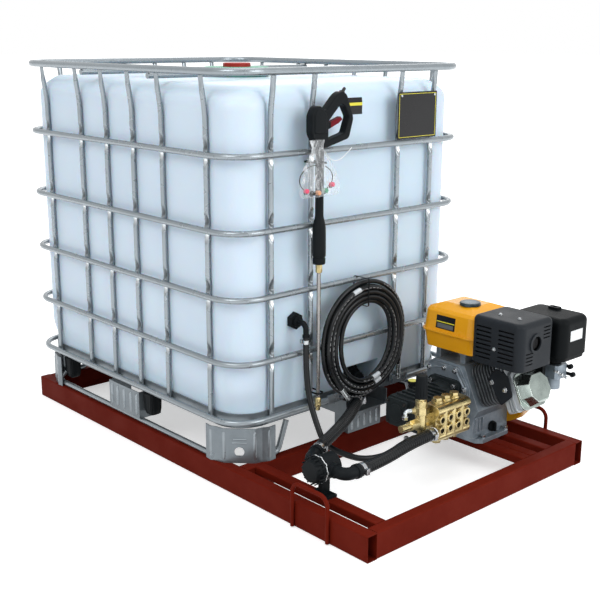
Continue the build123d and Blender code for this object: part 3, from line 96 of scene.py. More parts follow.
def ring_angles(count: int) -> list[float]:
    """Angles of evenly spaced points around a circle."""
    return [2 * math.pi * k / count for k in range(count)]


def circle(middle: Vector, first: Vector, second: Vector, radius: float, count: int) -> list[Vector]:
    """Ring of points in the plane of two unit vectors."""
    return [middle + (first * math.cos(a) + second * math.sin(a)) * radius for a in ring_angles(count)]


def eased(share: float) -> float:
    """Share from 0 to 1 with a soft start and end."""
    return share * share * (3 - 2 * share)


class Bench:
    """Node tree with short ways to add and join nodes."""

    def __init__(self, tree: NodeTree) -> None:
        """Keep the tree that is worked on."""
        self.tree = tree

    def join(self, source: NodeSocket, target: NodeSocket) -> None:
        """Link an output to an input."""
        self.tree.links.new(source, target)

    def fill(self, node: Node, values: dict) -> Node:
        """Set inputs of a node, each to a value or to an output socket.

        Args:
            node: The node.
            values: Values by socket name or number, a colour without its alpha.

        Returns:
            The node.
        """
        for key, value in values.items():
            socket = node.inputs[key]
            if isinstance(value, NodeSocket):
                self.join(value, socket)
            elif socket.type == "RGBA":
                socket.default_value = (*value, 1.0)
            else:
                socket.default_value = value
        return node

    def node(self, kind: str, values: dict | None = None, **settings: object) -> Node:
        """Add a node.

        Args:
            kind: Blender's name of the node type.
            values: Values of its inputs, as for fill.
            **settings: Properties of the node.

        Returns:
            The new node.
        """
        made = self.tree.nodes.new(kind)
        for key, value in settings.items():
            setattr(made, key, value)
        return self.fill(made, values or {})

    def math(self, operation: str, first: object, second: object = 0.0) -> NodeSocket:
        """Work out one value from two, each a number or a socket."""
        return self.node("ShaderNodeMath", {0: first, 1: second}, operation=operation).outputs[0]

    def times(self, first: object, second: object) -> NodeSocket:
        """Product of two values, each a number or a socket."""
        return self.math("MULTIPLY", first, second)

    def mix(self, share: object, first: object, second: object) -> NodeSocket:
        """Mix two colours by a share, each a value or a socket."""
        return self.node("ShaderNodeMix", {0: share, 6: first, 7: second}, data_type="RGBA").outputs[2]

    def place(self) -> NodeSocket:
        """Object coordinates of the surface."""
        return self.node("ShaderNodeTexCoord").outputs["Object"]

    def ramp(self, value: NodeSocket, limits: Pair, ends: Pair = (0.0, 1.0),
             shape: str = "LINEAR") -> NodeSocket:
        """Spread a value from the range of its limits to that of the ends, held at both."""
        numbers = dict(enumerate((value, *limits, *ends)))
        return self.node("ShaderNodeMapRange", numbers, interpolation_type=shape).outputs[0]

    def mark(self, name: str) -> NodeSocket:
        """Value of a mesh attribute."""
        return self.node("ShaderNodeAttribute", attribute_name=name).outputs["Fac"]

    def between(self, way: Vector, limits: Pair) -> NodeSocket:
        """Mask of what lies between two places along a direction.

        Args:
            way: Direction in the shared frame.
            limits: The two places, in metres.

        Returns:
            The mask.
        """
        along = self.node("ShaderNodeVectorMath", {0: self.place(), 1: way}, operation="DOT_PRODUCT")
        above = self.math("GREATER_THAN", along.outputs["Value"], limits[0])
        return self.times(above, self.math("LESS_THAN", along.outputs["Value"], limits[1]))

    def near(self, middle: Point, limits: Pair) -> NodeSocket:
        """Mask of what lies near a point, faded out between two distances from it."""
        away = self.node("ShaderNodeVectorMath", {0: self.place(), 1: middle}, operation="DISTANCE")
        return self.ramp(away.outputs["Value"], limits, (1.0, 0.0))

    def pressed(self, share: float) -> NodeSocket:
        """Mask of the painted shade at a tube's dents above the hoops for a share below zero, else of the
        painted highlight below them.
        """
        return self.math("MAXIMUM", self.times(self.mark("pressed"), share), 0.0)

    def dashes(self, share: float) -> NodeSocket:
        """Mask of broken lines along a hose.

        Args:
            share: How strongly they show.

        Returns:
            The mask.
        """
        dashes, dash_share = 60.0, 0.62
        runs, run_share = 1.3, 0.42
        lines, half_width = 2.0, 0.055
        along = self.mark("along")
        dash = self.math("LESS_THAN", self.math("FRACT", self.times(along, dashes)), dash_share)
        run = self.math("LESS_THAN", self.math("FRACT", self.times(along, runs)), run_share)
        half = self.math("FRACT", self.math("ADD", self.times(self.mark("around"), lines), 0.5))
        band = self.math("LESS_THAN", self.math("ABSOLUTE", self.math("SUBTRACT", half, 0.5)), half_width)
        return self.times(self.times(self.times(dash, run), band), share)


Mask = Callable[[Bench], NodeSocket]


def group(kind: str, name: str, inputs: dict, outputs: dict[str, str]) -> tuple[Bench, dict, Node]:
    """Start a node group.

    Args:
        kind: Blender's name of the tree type.
        name: Name of the group.
        inputs: Input names, each with its default value or its socket type.
        outputs: Output names with their socket types.

    Returns:
        The bench, the group's input sockets and its output node.
    """
    kinds = {tuple: "NodeSocketColor", float: "NodeSocketFloat", int: "NodeSocketInt"}
    tree = bpy.data.node_groups.new(name, kind)
    for label, value in inputs.items():
        socket_type = kinds.get(type(value), value)
        socket = tree.interface.new_socket(label, in_out="INPUT", socket_type=socket_type)
        if socket_type is not value:
            socket.default_value = (*value, 1.0) if isinstance(value, tuple) else value
    for label, socket_type in outputs.items():
        tree.interface.new_socket(label, in_out="OUTPUT", socket_type=socket_type)
    bench = Bench(tree)
    entry = bench.node("NodeGroupInput")
    return bench, {s.name: s for s in entry.outputs if s.name}, bench.node("NodeGroupOutput")


def mottle_effect() -> NodeTree:
    """Soft patches between two colours with a matching roughness shift and a fine height.

    Returns:
        The node group.
    """
    start = {"Colour": (0.5, 0.5, 0.5), "Patch": (0.4, 0.4, 0.4), "Scale": 6.0, "Amount": 0.5, "Fine": 300.0}
    ends = {"Colour": "NodeSocketColor", "Shift": "NodeSocketFloat", "Height": "NodeSocketFloat"}
    bench, given, out = group("ShaderNodeTree", "mottle", start, ends)
    place = bench.place()
    soft = {"Vector": place, "Scale": given["Scale"], "Detail": 5.0, "Roughness": 0.6}
    broad = bench.node("ShaderNodeTexNoise", soft).outputs["Fac"]
    fine = bench.node("ShaderNodeTexNoise", {"Vector": place, "Scale": given["Fine"], "Detail": 3.0})
    share = bench.times(bench.ramp(broad, (0.35, 0.68)), given["Amount"])
    usual_share = 0.25
    bench.fill(out, {
        "Colour": bench.mix(share, given["Colour"], given["Patch"]),
        "Shift": bench.math("SUBTRACT", share, usual_share),
        "Height": fine.outputs["Fac"],
    })
    return bench.tree


def edge_effect() -> NodeTree:
    """Mask of worn outer edges, broken up by noise, and a softened edge normal.

    Returns:
        The node group.
    """
    ends = {"Mask": "NodeSocketFloat", "Normal": "NodeSocketVector"}
    bench, given, out = group("ShaderNodeTree", "edge_wear", {"Width": 0.0015, "Strength": 1.0}, ends)
    soft = bench.node("ShaderNodeBevel", {"Radius": given["Width"]}, samples=4).outputs[0]
    hard = bench.node("ShaderNodeNewGeometry").outputs["Normal"]
    turn = bench.node("ShaderNodeVectorMath", {0: soft, 1: hard}, operation="DOT_PRODUCT")
    away = bench.math("SUBTRACT", 1.0, turn.outputs["Value"])
    chips = bench.node("ShaderNodeTexNoise", {"Vector": bench.place(), "Scale": 70.0, "Detail": 4.0})
    gain = 7.0
    worn = bench.times(bench.times(away, gain), bench.ramp(chips.outputs["Fac"], (0.42, 0.62)))
    mask = bench.math("MINIMUM", bench.times(worn, given["Strength"]), 1.0)
    bench.fill(out, {"Mask": mask, "Normal": soft})
    return bench.tree


def dust_effect() -> NodeTree:
    """Mask of dust that lies on faces turned upwards.

    Returns:
        The node group.
    """
    bench, given, out = group("ShaderNodeTree", "settled_dust", {"Amount": 0.3}, {"Mask": "NodeSocketFloat"})
    normal = bench.node("ShaderNodeNewGeometry").outputs["Normal"]
    facing = bench.node("ShaderNodeSeparateXYZ", {0: normal})
    level = bench.ramp(facing.outputs["Z"], (0.35, 0.95))
    cloudy = {"Vector": bench.place(), "Scale": 14.0, "Detail": 6.0, "Roughness": 0.7}
    cloud = bench.node("ShaderNodeTexNoise", cloudy).outputs["Fac"]
    bench.fill(out, {"Mask": bench.times(bench.times(level, cloud), given["Amount"])})
    return bench.tree


def spangle_effect() -> NodeTree:
    """Crystal flakes of hot-dip zinc, as a value for each flake.

    Returns:
        The node group.
    """
    bench, given, out = group("ShaderNodeTree", "zinc_spangle", {"Size": 90.0}, {"Flake": "NodeSocketFloat"})
    flakes = {"Vector": bench.place(), "Scale": given["Size"], "Randomness": 1.0}
    cells = bench.node("ShaderNodeTexVoronoi", flakes).outputs["Color"]
    bench.fill(out, {"Flake": bench.node("ShaderNodeSeparateColor", {0: cells}).outputs[0]})
    return bench.tree


class Effects:
    """Shader effects that several finishes share, each built once."""

    def __init__(self) -> None:
        """Build the groups."""
        self.mottle = mottle_effect()
        self.edge = edge_effect()
        self.dust = dust_effect()
        self.spangle = spangle_effect()


def new_material(name: str) -> tuple[Material, Bench, Node]:
    """Material with nodes.

    Args:
        name: Name of the material.

    Returns:
        The material, its bench and its shader.
    """
    material = bpy.data.materials.new(name)
    material.use_nodes = True
    return material, Bench(material.node_tree), material.node_tree.nodes["Principled BSDF"]


@dataclass(frozen=True)
class Finish:
    """One surface finish: its colours, gloss, wear and fine relief."""

    name: str
    colour: Colour
    patch: Colour
    roughness: float
    metallic: float = 0.0
    spangled: bool = False
    scale: float = 6.0
    amount: float = 0.5
    fine: float = 300.0
    bump: float = 0.00008
    worn: Colour | None = None
    edge_width: float = 0.0012
    edge_strength: float = 1.0
    dust: float = 0.0
    dust_colour: Colour = (0.42, 0.39, 0.34)
    coat: float = 0.0
    subsurface: float = 0.0
    specular: float = 0.5
    gloss_spread: float = 0.25
    coat_roughness: float = 0.12
    scatter_depth: float = 0.02
    flakes: float = 45.0
    flake_share: float = 0.05
    flake_colour: Colour = (0.60, 0.64, 0.67)
    dust_roughness: float = 0.4
    most_rough: float = 0.95

    def build(self, effects: Effects) -> Material:
        """Make the material.

        Args:
            effects: The shared shader effects.

        Returns:
            The material.
        """
        material, bench, shader = new_material(self.name)
        kind = "ShaderNodeGroup"
        patches = {"Colour": self.colour, "Patch": self.patch, "Scale": self.scale, "Amount": self.amount,
                   "Fine": self.fine}
        mottle = bench.node(kind, patches, node_tree=effects.mottle)
        colour = mottle.outputs["Colour"]
        rough = bench.math("ADD", bench.times(mottle.outputs["Shift"], self.gloss_spread), self.roughness)
        if self.spangled:
            flake = bench.node(kind, {"Size": self.flakes}, node_tree=effects.spangle).outputs["Flake"]
            share = bench.times(flake, self.flake_share)
            colour = bench.mix(share, colour, self.flake_colour)
            rough = bench.math("ADD", rough, share)
        wear = {"Width": self.edge_width, "Strength": self.edge_strength}
        edge = bench.node(kind, wear, node_tree=effects.edge)
        if self.worn is not None:
            colour = bench.mix(edge.outputs["Mask"], colour, self.worn)
        if self.dust > 0.0:
            lying = bench.node(kind, {"Amount": self.dust}, node_tree=effects.dust).outputs["Mask"]
            colour = bench.mix(lying, colour, self.dust_colour)
            rough = bench.math("ADD", rough, bench.times(lying, self.dust_roughness))
        height = {"Height": mottle.outputs["Height"], "Normal": edge.outputs["Normal"]}
        relief = bench.node("ShaderNodeBump", {"Strength": 1.0, "Distance": self.bump, **height})
        bench.fill(shader, {
            "Base Color": colour, "Metallic": self.metallic, "Specular IOR Level": self.specular,
            "Roughness": bench.math("MINIMUM", rough, self.most_rough), "Normal": relief.outputs[0],
            "Coat Weight": self.coat, "Coat Roughness": self.coat_roughness,
            "Subsurface Weight": self.subsurface, "Subsurface Scale": self.scatter_depth,
        })
        return material


class Paint(Enum):
    """Every plain finish of the machine."""

    OXIDE = Finish("oxide_primer", (0.130, 0.0112, 0.0048), (0.098, 0.0080, 0.0036), 0.52, scale=9.0,
                   amount=0.8, fine=420.0, bump=0.00012, worn=(0.175, 0.026, 0.015), edge_strength=0.5,
                   dust=0.02, dust_colour=(0.16, 0.036, 0.022), specular=0.03)
    ZINC_DIP = Finish("galvanised_steel", (0.265, 0.298, 0.320), (0.190, 0.216, 0.235), 0.28,
                      metallic=0.70, spangled=True, scale=2.5, amount=0.3, edge_width=0.0, bump=0.0)
    ZINC_SHEET = Finish("galvanised_sheet", (0.185, 0.213, 0.232), (0.130, 0.150, 0.165), 0.32,
                        metallic=0.65, spangled=True, scale=9.0, amount=0.6, worn=(0.45, 0.48, 0.50),
                        edge_strength=0.4, bump=0.00004)
    BOTTLE = Finish("natural_bottle", (0.632, 0.742, 0.850), (0.592, 0.702, 0.818), 0.38, scale=2.2,
                    amount=0.55, fine=180.0, bump=0.00025, subsurface=0.25, edge_width=0.004,
                    specular=0.35)
    LID = Finish("lid_green", (0.020, 0.30, 0.17), (0.015, 0.23, 0.13), 0.38, bump=0.00010, specular=0.15)
    VENT = Finish("vent_red", (0.40, 0.030, 0.024), (0.31, 0.020, 0.016), 0.36, bump=0.00010,
                  specular=0.2)
    PLASTIC = Finish("black_plastic", (0.0062, 0.0078, 0.0090), (0.0100, 0.0122, 0.0138), 0.44,
                     fine=900.0, bump=0.00012, worn=(0.018, 0.021, 0.024), specular=0.075)
    CLEANER = Finish("air_cleaner_plastic", (0.0042, 0.0053, 0.0060), (0.0070, 0.0085, 0.0096), 0.46,
                     fine=1400.0, bump=0.00018, worn=(0.014, 0.016, 0.018), specular=0.06)
    RUBBER = Finish("hose_rubber", (0.0055, 0.0066, 0.0076), (0.0100, 0.0116, 0.0132), 0.32, fine=700.0,
                    bump=0.00010, worn=(0.016, 0.019, 0.022), specular=0.24)
    ALLOY = Finish("cast_alloy", (0.272, 0.322, 0.368), (0.150, 0.180, 0.210), 0.42, metallic=0.55,
                   scale=22.0, amount=0.8, fine=650.0, bump=0.00035, worn=(0.50, 0.53, 0.56),
                   edge_width=0.002)
    FINS = Finish("cylinder_fins", (0.105, 0.115, 0.125), (0.055, 0.060, 0.067), 0.46, metallic=0.5,
                  scale=26.0, amount=0.9, fine=700.0, bump=0.00035, worn=(0.36, 0.38, 0.40))
    ZINC = Finish("bright_zinc", (0.56, 0.60, 0.61), (0.38, 0.42, 0.43), 0.18, metallic=0.9, scale=14.0,
                  fine=900.0, bump=0.00002, edge_width=0.003)
    # Its dark patches are a painted reflection of dark surroundings on the shiny zinc; the lighter colour and
    # the worn edges are its own.
    ROCKER = Finish("passivated_zinc_painted_reflection", (0.40, 0.46, 0.43), (0.13, 0.16, 0.15), 0.15, metallic=0.95,
                    scale=9.0, amount=0.9, fine=900.0, bump=0.00002, worn=(0.72, 0.78, 0.75),
                    edge_width=0.003)
    YELLOW = Finish("tank_enamel", (0.79, 0.358, 0.010), (0.73, 0.312, 0.008), 0.26, scale=5.0,
                    fine=420.0, bump=0.00003, worn=(0.86, 0.44, 0.04), coat=0.12, edge_width=0.004,
                    edge_strength=0.4, specular=0.22)
    CAP = Finish("fuel_cap_grey", (0.030, 0.050, 0.060), (0.020, 0.036, 0.044), 0.30, metallic=0.2,
                 bump=0.00005, specular=0.25)
    CHARCOAL = Finish("heat_proof_charcoal", (0.0120, 0.0148, 0.0184), (0.0175, 0.0210, 0.0255), 0.46,
                      scale=10.0, fine=900.0, bump=0.00014, worn=(0.042, 0.048, 0.056), dust=0.05,
                      dust_colour=(0.040, 0.044, 0.048), specular=0.13)
    PUMP = Finish("pump_enamel", (0.0135, 0.0180, 0.0195), (0.0225, 0.0285, 0.0305), 0.46, scale=18.0,
                  fine=500.0, bump=0.00030, worn=(0.060, 0.063, 0.068), dust=0.08,
                  dust_colour=(0.050, 0.053, 0.056), specular=0.15)
    BRASS = Finish("machined_brass", (0.585, 0.485, 0.245), (0.300, 0.240, 0.112), 0.25, metallic=0.95,
                   scale=30.0, amount=0.85, fine=500.0, bump=0.00012, worn=(0.84, 0.70, 0.38),
                   edge_width=0.002)
    STEEL = Finish("plated_steel", (0.44, 0.46, 0.475), (0.30, 0.32, 0.33), 0.24, metallic=0.95,
                   scale=40.0, fine=800.0, bump=0.00004, worn=(0.80, 0.81, 0.82))
    LANCE = Finish("lance_steel", (0.275, 0.265, 0.258), (0.170, 0.165, 0.160), 0.26, metallic=0.9,
                   scale=40.0, fine=800.0, bump=0.00004, worn=(0.6, 0.6, 0.6))
    IRON = Finish("cast_iron", (0.014, 0.014, 0.015), (0.009, 0.009, 0.010), 0.60, metallic=0.3,
                  scale=30.0, fine=600.0, bump=0.00040, worn=(0.06, 0.06, 0.063), specular=0.08)
    DARK_STEEL = Finish("blackened_steel", (0.022, 0.021, 0.020), (0.045, 0.040, 0.035), 0.40,
                        metallic=0.7, scale=60.0, fine=800.0, bump=0.00006)
    WHITE = Finish("white_label", (0.80, 0.82, 0.83), (0.72, 0.74, 0.75), 0.40, bump=0.00003)
    GREY_LABEL = Finish("grey_label", (0.115, 0.120, 0.118), (0.090, 0.094, 0.092), 0.36, bump=0.00003)
    PINK = Finish("nozzle_pink", (0.72, 0.06, 0.14), (0.60, 0.04, 0.10), 0.34, bump=0.00006)
    ORANGE = Finish("nozzle_orange", (0.72, 0.30, 0.12), (0.62, 0.24, 0.09), 0.34, bump=0.00006)
    GREEN = Finish("nozzle_green", (0.04, 0.28, 0.15), (0.03, 0.22, 0.12), 0.34, bump=0.00006)
    BLACK_SIGN = Finish("sign_black", (0.006, 0.006, 0.007), (0.010, 0.010, 0.011), 0.26, bump=0.00003,
                        specular=0.3)
    SIGN_YELLOW = Finish("sign_yellow", (0.80, 0.72, 0.05), (0.72, 0.64, 0.04), 0.30, bump=0.00003)
    TAPE = Finish("white_tape", (0.60, 0.64, 0.67), (0.40, 0.43, 0.46), 0.22, scale=60.0, amount=0.8,
                  bump=0.00050)


class Palette:
    """Materials made from the finishes, each once."""

    def __init__(self, effects: Effects) -> None:
        """Keep the effects and start with no material."""
        self.effects = effects
        self.made: dict[str, Material] = {}

    def of(self, paint: Paint) -> Material:
        """Material of a finish, made when it is first asked for.

        Args:
            paint: The finish.

        Returns:
            The material.
        """
        if paint.name not in self.made:
            self.made[paint.name] = paint.value.build(self.effects)
        return self.made[paint.name]

    def tinted(self, name: str, base: Paint, *tints: tuple[Colour, Mask]) -> Material:
        """A finish that takes other colours where masks are one.

        Args:
            name: Name of the material.
            base: The finish.
            *tints: Colours, each with what makes its mask in the material's tree.

        Returns:
            The material.
        """
        material = base.value.build(self.effects)
        material.name = name
        bench = Bench(material.node_tree)
        target = material.node_tree.nodes["Principled BSDF"].inputs["Base Color"]
        for colour, mask in tints:
            bench.join(bench.mix(mask(bench), target.links[0].from_socket, colour), target)
        return material

    def film(self) -> Material:
        """Clear crinkled bag film, whiter along its creases.

        Returns:
            The material.
        """
        material, bench, shader = new_material("clear_film")
        stretch = bench.node("ShaderNodeMapping", {"Vector": bench.place(), "Scale": (1.0, 1.0, 0.35)})
        creased = {"Vector": stretch.outputs[0], "Scale": 60.0, "Detail": 4.0, "Distortion": 1.5}
        crease = bench.node("ShaderNodeTexNoise", creased).outputs["Fac"]
        relief = bench.node("ShaderNodeBump", {"Strength": 1.0, "Distance": 0.003, "Height": crease})
        bench.fill(shader, {
            "Base Color": (0.92, 0.95, 0.97), "Roughness": 0.12, "Normal": relief.outputs[0],
            "Alpha": bench.ramp(crease, (0.50, 0.72), (0.10, 0.55)),
        })
        return material

    def painted_dent_light_tube(self) -> Material:
        """Galvanised tube with painted shade above each hoop and a painted highlight below it, where it is
        pressed in.

        Returns:
            The material.
        """
        # The dark tint is painted shade and the bright tint a painted highlight, both at the dents.
        dark = ((0.050, 0.058, 0.064), partial(Bench.pressed, share=-0.92))
        bright = ((0.84, 0.88, 0.90), partial(Bench.pressed, share=0.90))
        return self.tinted("galvanised_steel_painted_dent_light", Paint.ZINC_DIP, dark, bright)

    def marked_hose(self) -> Material:
        """Hose rubber with plain broken lines along it."""
        ink = ((0.72, 0.74, 0.76), partial(Bench.dashes, share=0.55))
        return self.tinted("marked_hose_rubber", Paint.RUBBER, ink)


BEVEL_FROM = 0.5
"""Edges that turn by more than this are rounded, in radians."""

CORNER_SHARE = 0.45
"""Greatest share of a side that one rounded corner takes."""


class Shape:
    """Mesh built from simple closed forms."""

    def __init__(self) -> None:
        """Start with an empty mesh."""
        self.mesh = bmesh.new()

    def ring_loft(self, rings: list[list[Vector]], caps: bool = True) -> None:
        """Join rings of points into a closed skin.

        Args:
            rings: Rings with the same number of points, in order.
            caps: Whether the first and last rings are closed.
        """
        rows = [[self.mesh.verts.new(p) for p in ring] for ring in rings]
        count = len(rows[0])
        for low, high in zip(rows, rows[1:]):
            for k in range(count):
                n = (k + 1) % count
                self.mesh.faces.new((low[k], low[n], high[n], high[k]))
        if caps:
            self.mesh.faces.new(list(reversed(rows[0])))
            self.mesh.faces.new(rows[-1])

    def lathe(self, start: Point, axis: Vector, profile: list[Pair], sides: int = 32,
              caps: bool = True) -> None:
        """Turned form along an axis.

        Args:
            start: Where the profile's distances start.
            axis: Direction of the form.
            profile: Pairs of distance along the axis and radius.
            sides: Points around the form.
            caps: Whether the ends are closed.
        """
        ahead = axis.normalized()
        side = ahead.orthogonal().normalized()
        other = ahead.cross(side)
        first = Vector(start)
        rings = [circle(first + ahead * along, side, other, radius, sides) for along, radius in profile]
        self.ring_loft(rings, caps)

    def slab(self, corners: list[Point], offset: Vector) -> None:
        """Flat plate from its corner points in order and its thickness as a vector."""
        low = [Vector(c) for c in corners]
        self.ring_loft([low, [p + offset for p in low]])

    def block(self, low: Point, high: Point) -> None:
        """Block between two corners, in metres."""
        base = [(x, y, low[2]) for x, y in rectangle(low[:2], high[:2])]
        self.slab(base, UP * (high[2] - low[2]))

    def done(self, name: str, smooth: float | None = 35.0, bevel: float = 0.0, segments: int = 2) -> Object:
        """Turn the mesh into an object.

        Args:
            name: Name of the piece.
            smooth: Angle in degrees below which edges look smooth, or None for flat.
            bevel: Width of the rounded edges, in metres.
            segments: Steps of the rounded edges.

        Returns:
            The object, linked to the scene.
        """
        if bevel > 0.0:
            pairs = [e for e in self.mesh.edges if len(e.link_faces) == 2]
            sharp = [e for e in pairs if e.calc_face_angle() > BEVEL_FROM]
            bmesh.ops.bevel(self.mesh, geom=sharp, offset=bevel, segments=segments, profile=0.5,
                            affect="EDGES")
        bmesh.ops.recalc_face_normals(self.mesh, faces=self.mesh.faces)
        data = bpy.data.meshes.new(name)
        self.mesh.to_mesh(data)
        self.mesh.free()
        return placed(name, data, smooth)


def linked(name: str, data: object) -> Object:
    """New object in the scene.

    Args:
        name: Its name.
        data: Its mesh, curve, lamp or camera.

    Returns:
        The object.
    """
    holder = bpy.data.objects.new(name, data)
    bpy.context.scene.collection.objects.link(holder)
    return holder


def placed(name: str, data: Mesh, smooth: float | None = 35.0) -> Object:
    """Link a mesh to the scene as a new object.

    Args:
        name: Name of the piece.
        data: Its mesh.
        smooth: Angle in degrees below which edges look smooth, or None for flat.

    Returns:
        The object.
    """
    piece = linked(name, data)
    if smooth is not None:
        data.shade_smooth()
        data.set_sharp_from_angle(angle=math.radians(smooth))
    return piece


def finished(piece: Object, material: Material, body: str = STATIC) -> Object:
    """Give a piece its material and its body.

    Args:
        piece: The piece.
        material: Its material.
        body: Body that it rides on.

    Returns:
        The piece.
    """
    piece.data.materials.clear()
    piece.data.materials.append(material)
    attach(piece, body)
    log.info("%s: %d faces", piece.name, len(piece.data.polygons))
    return piece


def plain_mesh(holder: Object) -> Mesh:
    """Mesh of an object as its modifiers leave it."""
    return bpy.data.meshes.new_from_object(holder.evaluated_get(bpy.context.evaluated_depsgraph_get()))


def facing_front(mesh: Mesh, name: str, x: float, smooth: float | None = 50.0) -> Object:
    """Stand a flat form up so that it faces along X, with its middle at x in metres."""
    mesh.transform(Matrix(((0, 0, 1, x), (1, 0, 0, 0), (0, 1, 0, 0), (0, 0, 0, 1))))
    return placed(name, mesh, smooth)


def flat_form(loops: list[list[Pair]], depth: float, rounding: float, steps: int = 4) -> Mesh:
    """Plate with holes and rounded edges from closed outlines.

    Args:
        loops: Closed outlines; the first is the outside.
        depth: Whole thickness.
        rounding: Radius of the rounded edges.
        steps: Steps of the rounded edges.

    Returns:
        A mesh in its own XY plane, centred on its thickness.
    """
    curve = bpy.data.curves.new("outline", "CURVE")
    curve.dimensions = "2D"
    curve.fill_mode = "BOTH"
    curve.extrude = depth / 2.0 - rounding
    curve.bevel_depth = rounding
    curve.bevel_resolution = steps
    curve.offset = -rounding
    for loop in loops:
        spline = curve.splines.new("POLY")
        spline.points.add(len(loop) - 1)
        for spot, (x, y) in zip(spline.points, loop):
            spot.co = (x, y, 0.0, 1.0)
        spline.use_cyclic_u = True
    holder = linked("outline", curve)
    mesh = plain_mesh(holder)
    bpy.data.objects.remove(holder)
    bpy.data.curves.remove(curve)
    return mesh


def rounded(points: list[Pair], radius: float, steps: int = 5) -> list[Pair]:
    """Closed outline with its corners rounded.

    Args:
        points: Corner points in order.
        radius: Largest corner radius.
        steps: Points on each corner.

    Returns:
        The outline's points.
    """
    result = []
    count = len(points)
    for k in range(count):
        corner = Vector(points[k])
        before = Vector(points[k - 1]) - corner
        after = Vector(points[(k + 1) % count]) - corner
        reach = min(radius, before.length * CORNER_SHARE, after.length * CORNER_SHARE)
        first = corner + before.normalized() * reach
        last = corner + after.normalized() * reach
        for n in range(steps + 1):
            t = n / steps
            spot = first * (1 - t) ** 2 + corner * 2 * t * (1 - t) + last * t**2
            result.append((spot.x, spot.y))
    return result


class NodeForms:
    """Geometry Nodes trees that make what repeats or follows a path."""

    def __init__(self) -> None:
        """Build the trees."""
        self.hose = self.hose_tree()
        self.bolts = self.bolt_tree()

    @staticmethod
    def start(name: str, sizes: dict) -> tuple[Bench, dict, Node]:
        """Start a tree with sizes, a material and a geometry socket at each end."""
        shape = {"Geometry": "NodeSocketGeometry"}
        return group("GeometryNodeTree", name, {**shape, **sizes, "Material": "NodeSocketMaterial"}, shape)

    @staticmethod
    def end(bench: Bench, out: Node, shape: NodeSocket, material: NodeSocket) -> NodeTree:
        """Close a tree with real geometry and its material.

        Args:
            bench: Bench of the tree.
            out: Output node of the tree.
            shape: The geometry so far.
            material: Input socket of the material.

        Returns:
            The tree.
        """
        real = bench.node("GeometryNodeRealizeInstances", {0: shape}).outputs[0]
        dressed = bench.node("GeometryNodeSetMaterial", {0: real, "Material": material})
        bench.fill(out, {0: dressed.outputs[0]})
        return bench.tree

    @staticmethod
    def store(bench: Bench, name: str, shape: NodeSocket, value: NodeSocket) -> NodeSocket:
        """Keep a value at every point under a name.

        Args:
            bench: Bench of the tree.
            name: Name of the attribute.
            shape: The geometry.
            value: The value at each point.

        Returns:
            The geometry with the attribute.
        """
        values = {"Name": name, "Geometry": shape, "Value": value}
        kept = bench.node("GeometryNodeStoreNamedAttribute", values, data_type="FLOAT", domain="POINT")
        return kept.outputs[0]

    def hose_tree(self) -> NodeTree:
        """Tube along a curve, with ribs between two plain cuffs where it has any.

        Returns:
            The tree.
        """
        sizes = {"Radius": 0.018, "Root": 0.0162, "Pitch": 0.009, "Cuff": 0.034, "Step": 0.0015, "Sides": 28}
        bench, given, out = self.start("hose_form", sizes)
        curve = {"Curve": given["Geometry"], "Length": given["Step"]}
        even = bench.node("GeometryNodeResampleCurve", curve, mode="LENGTH")
        at = bench.node("GeometryNodeSplineParameter").outputs["Length"]
        total = bench.node("GeometryNodeSplineLength").outputs["Length"]
        nearest = bench.math("MINIMUM", bench.math("SUBTRACT", total, at), at)
        past = bench.math("GREATER_THAN", nearest, given["Cuff"])
        phase = bench.math("FRACT", bench.math("DIVIDE", at, given["Pitch"]))
        wave = bench.math("COSINE", bench.times(phase, 2 * math.pi))
        crest = bench.ramp(wave, (-0.35, 0.35), shape="SMOOTHSTEP")
        hollow = bench.times(bench.math("SUBTRACT", 1.0, crest), past)
        depth = bench.times(hollow, bench.math("SUBTRACT", given["Radius"], given["Root"]))
        circle_values = {"Radius": 1.0, "Resolution": given["Sides"]}
        profile = bench.node("GeometryNodeCurvePrimitiveCircle", circle_values).outputs["Curve"]
        share = bench.node("GeometryNodeSplineParameter").outputs["Factor"]
        skin = bench.node("GeometryNodeCurveToMesh", {
            "Curve": self.store(bench, "along", even.outputs[0], at),
            "Profile Curve": self.store(bench, "around", profile, share),
            "Scale": bench.math("SUBTRACT", given["Radius"], depth), "Fill Caps": True,
        })
        return self.end(bench, out, skin.outputs[0], given["Material"])

    def bolt_tree(self) -> NodeTree:
        """Hexagon head on a washer at every point, facing along the point's own direction.

        Returns:
            The tree.
        """
        bench, given, out = self.start("bolt_form", {"Head": 0.012, "Height": 0.006, "Washer": 0.018})
        corner_share, crown_low, crown_high = 0.577, 0.48, 0.40
        head_from, crown_depth, washer_depth = 0.0012, 0.0008, 0.0014
        size, height = given["Head"], given["Height"]
        head = {"Vertices": 6, "Radius": bench.times(size, corner_share), "Depth": height}
        crown = {"Vertices": 18, "Depth": crown_depth, "Radius Bottom": bench.times(size, crown_low),
                 "Radius Top": bench.times(size, crown_high)}
        washer = {"Vertices": 20, "Depth": washer_depth, "Radius": bench.times(given["Washer"], 0.5)}
        whole = bench.node("GeometryNodeJoinGeometry")
        for form, values, lift in (
            ("GeometryNodeMeshCylinder", head, bench.math("ADD", bench.times(height, 0.5), head_from)),
            ("GeometryNodeMeshCone", crown, bench.math("ADD", height, head_from)),
            ("GeometryNodeMeshCylinder", washer, washer_depth / 2),
        ):
            up = bench.node("ShaderNodeCombineXYZ", {"Z": lift}).outputs[0]
            part = bench.node(form, values).outputs["Mesh"]
            moved = bench.node("GeometryNodeTransform", {"Geometry": part, "Translation": up})
            bench.join(moved.outputs[0], whole.inputs[0])
        facing = bench.node("GeometryNodeInputNamedAttribute", {"Name": "facing"}, data_type="FLOAT_VECTOR")
        way = {"Vector": facing.outputs["Attribute"]}
        turn = bench.node("FunctionNodeAlignRotationToVector", way, axis="Z").outputs[0]
        points = {"Points": given["Geometry"], "Instance": whole.outputs[0], "Rotation": turn}
        spread = bench.node("GeometryNodeInstanceOnPoints", points)
        return self.end(bench, out, spread.outputs[0], given["Material"])

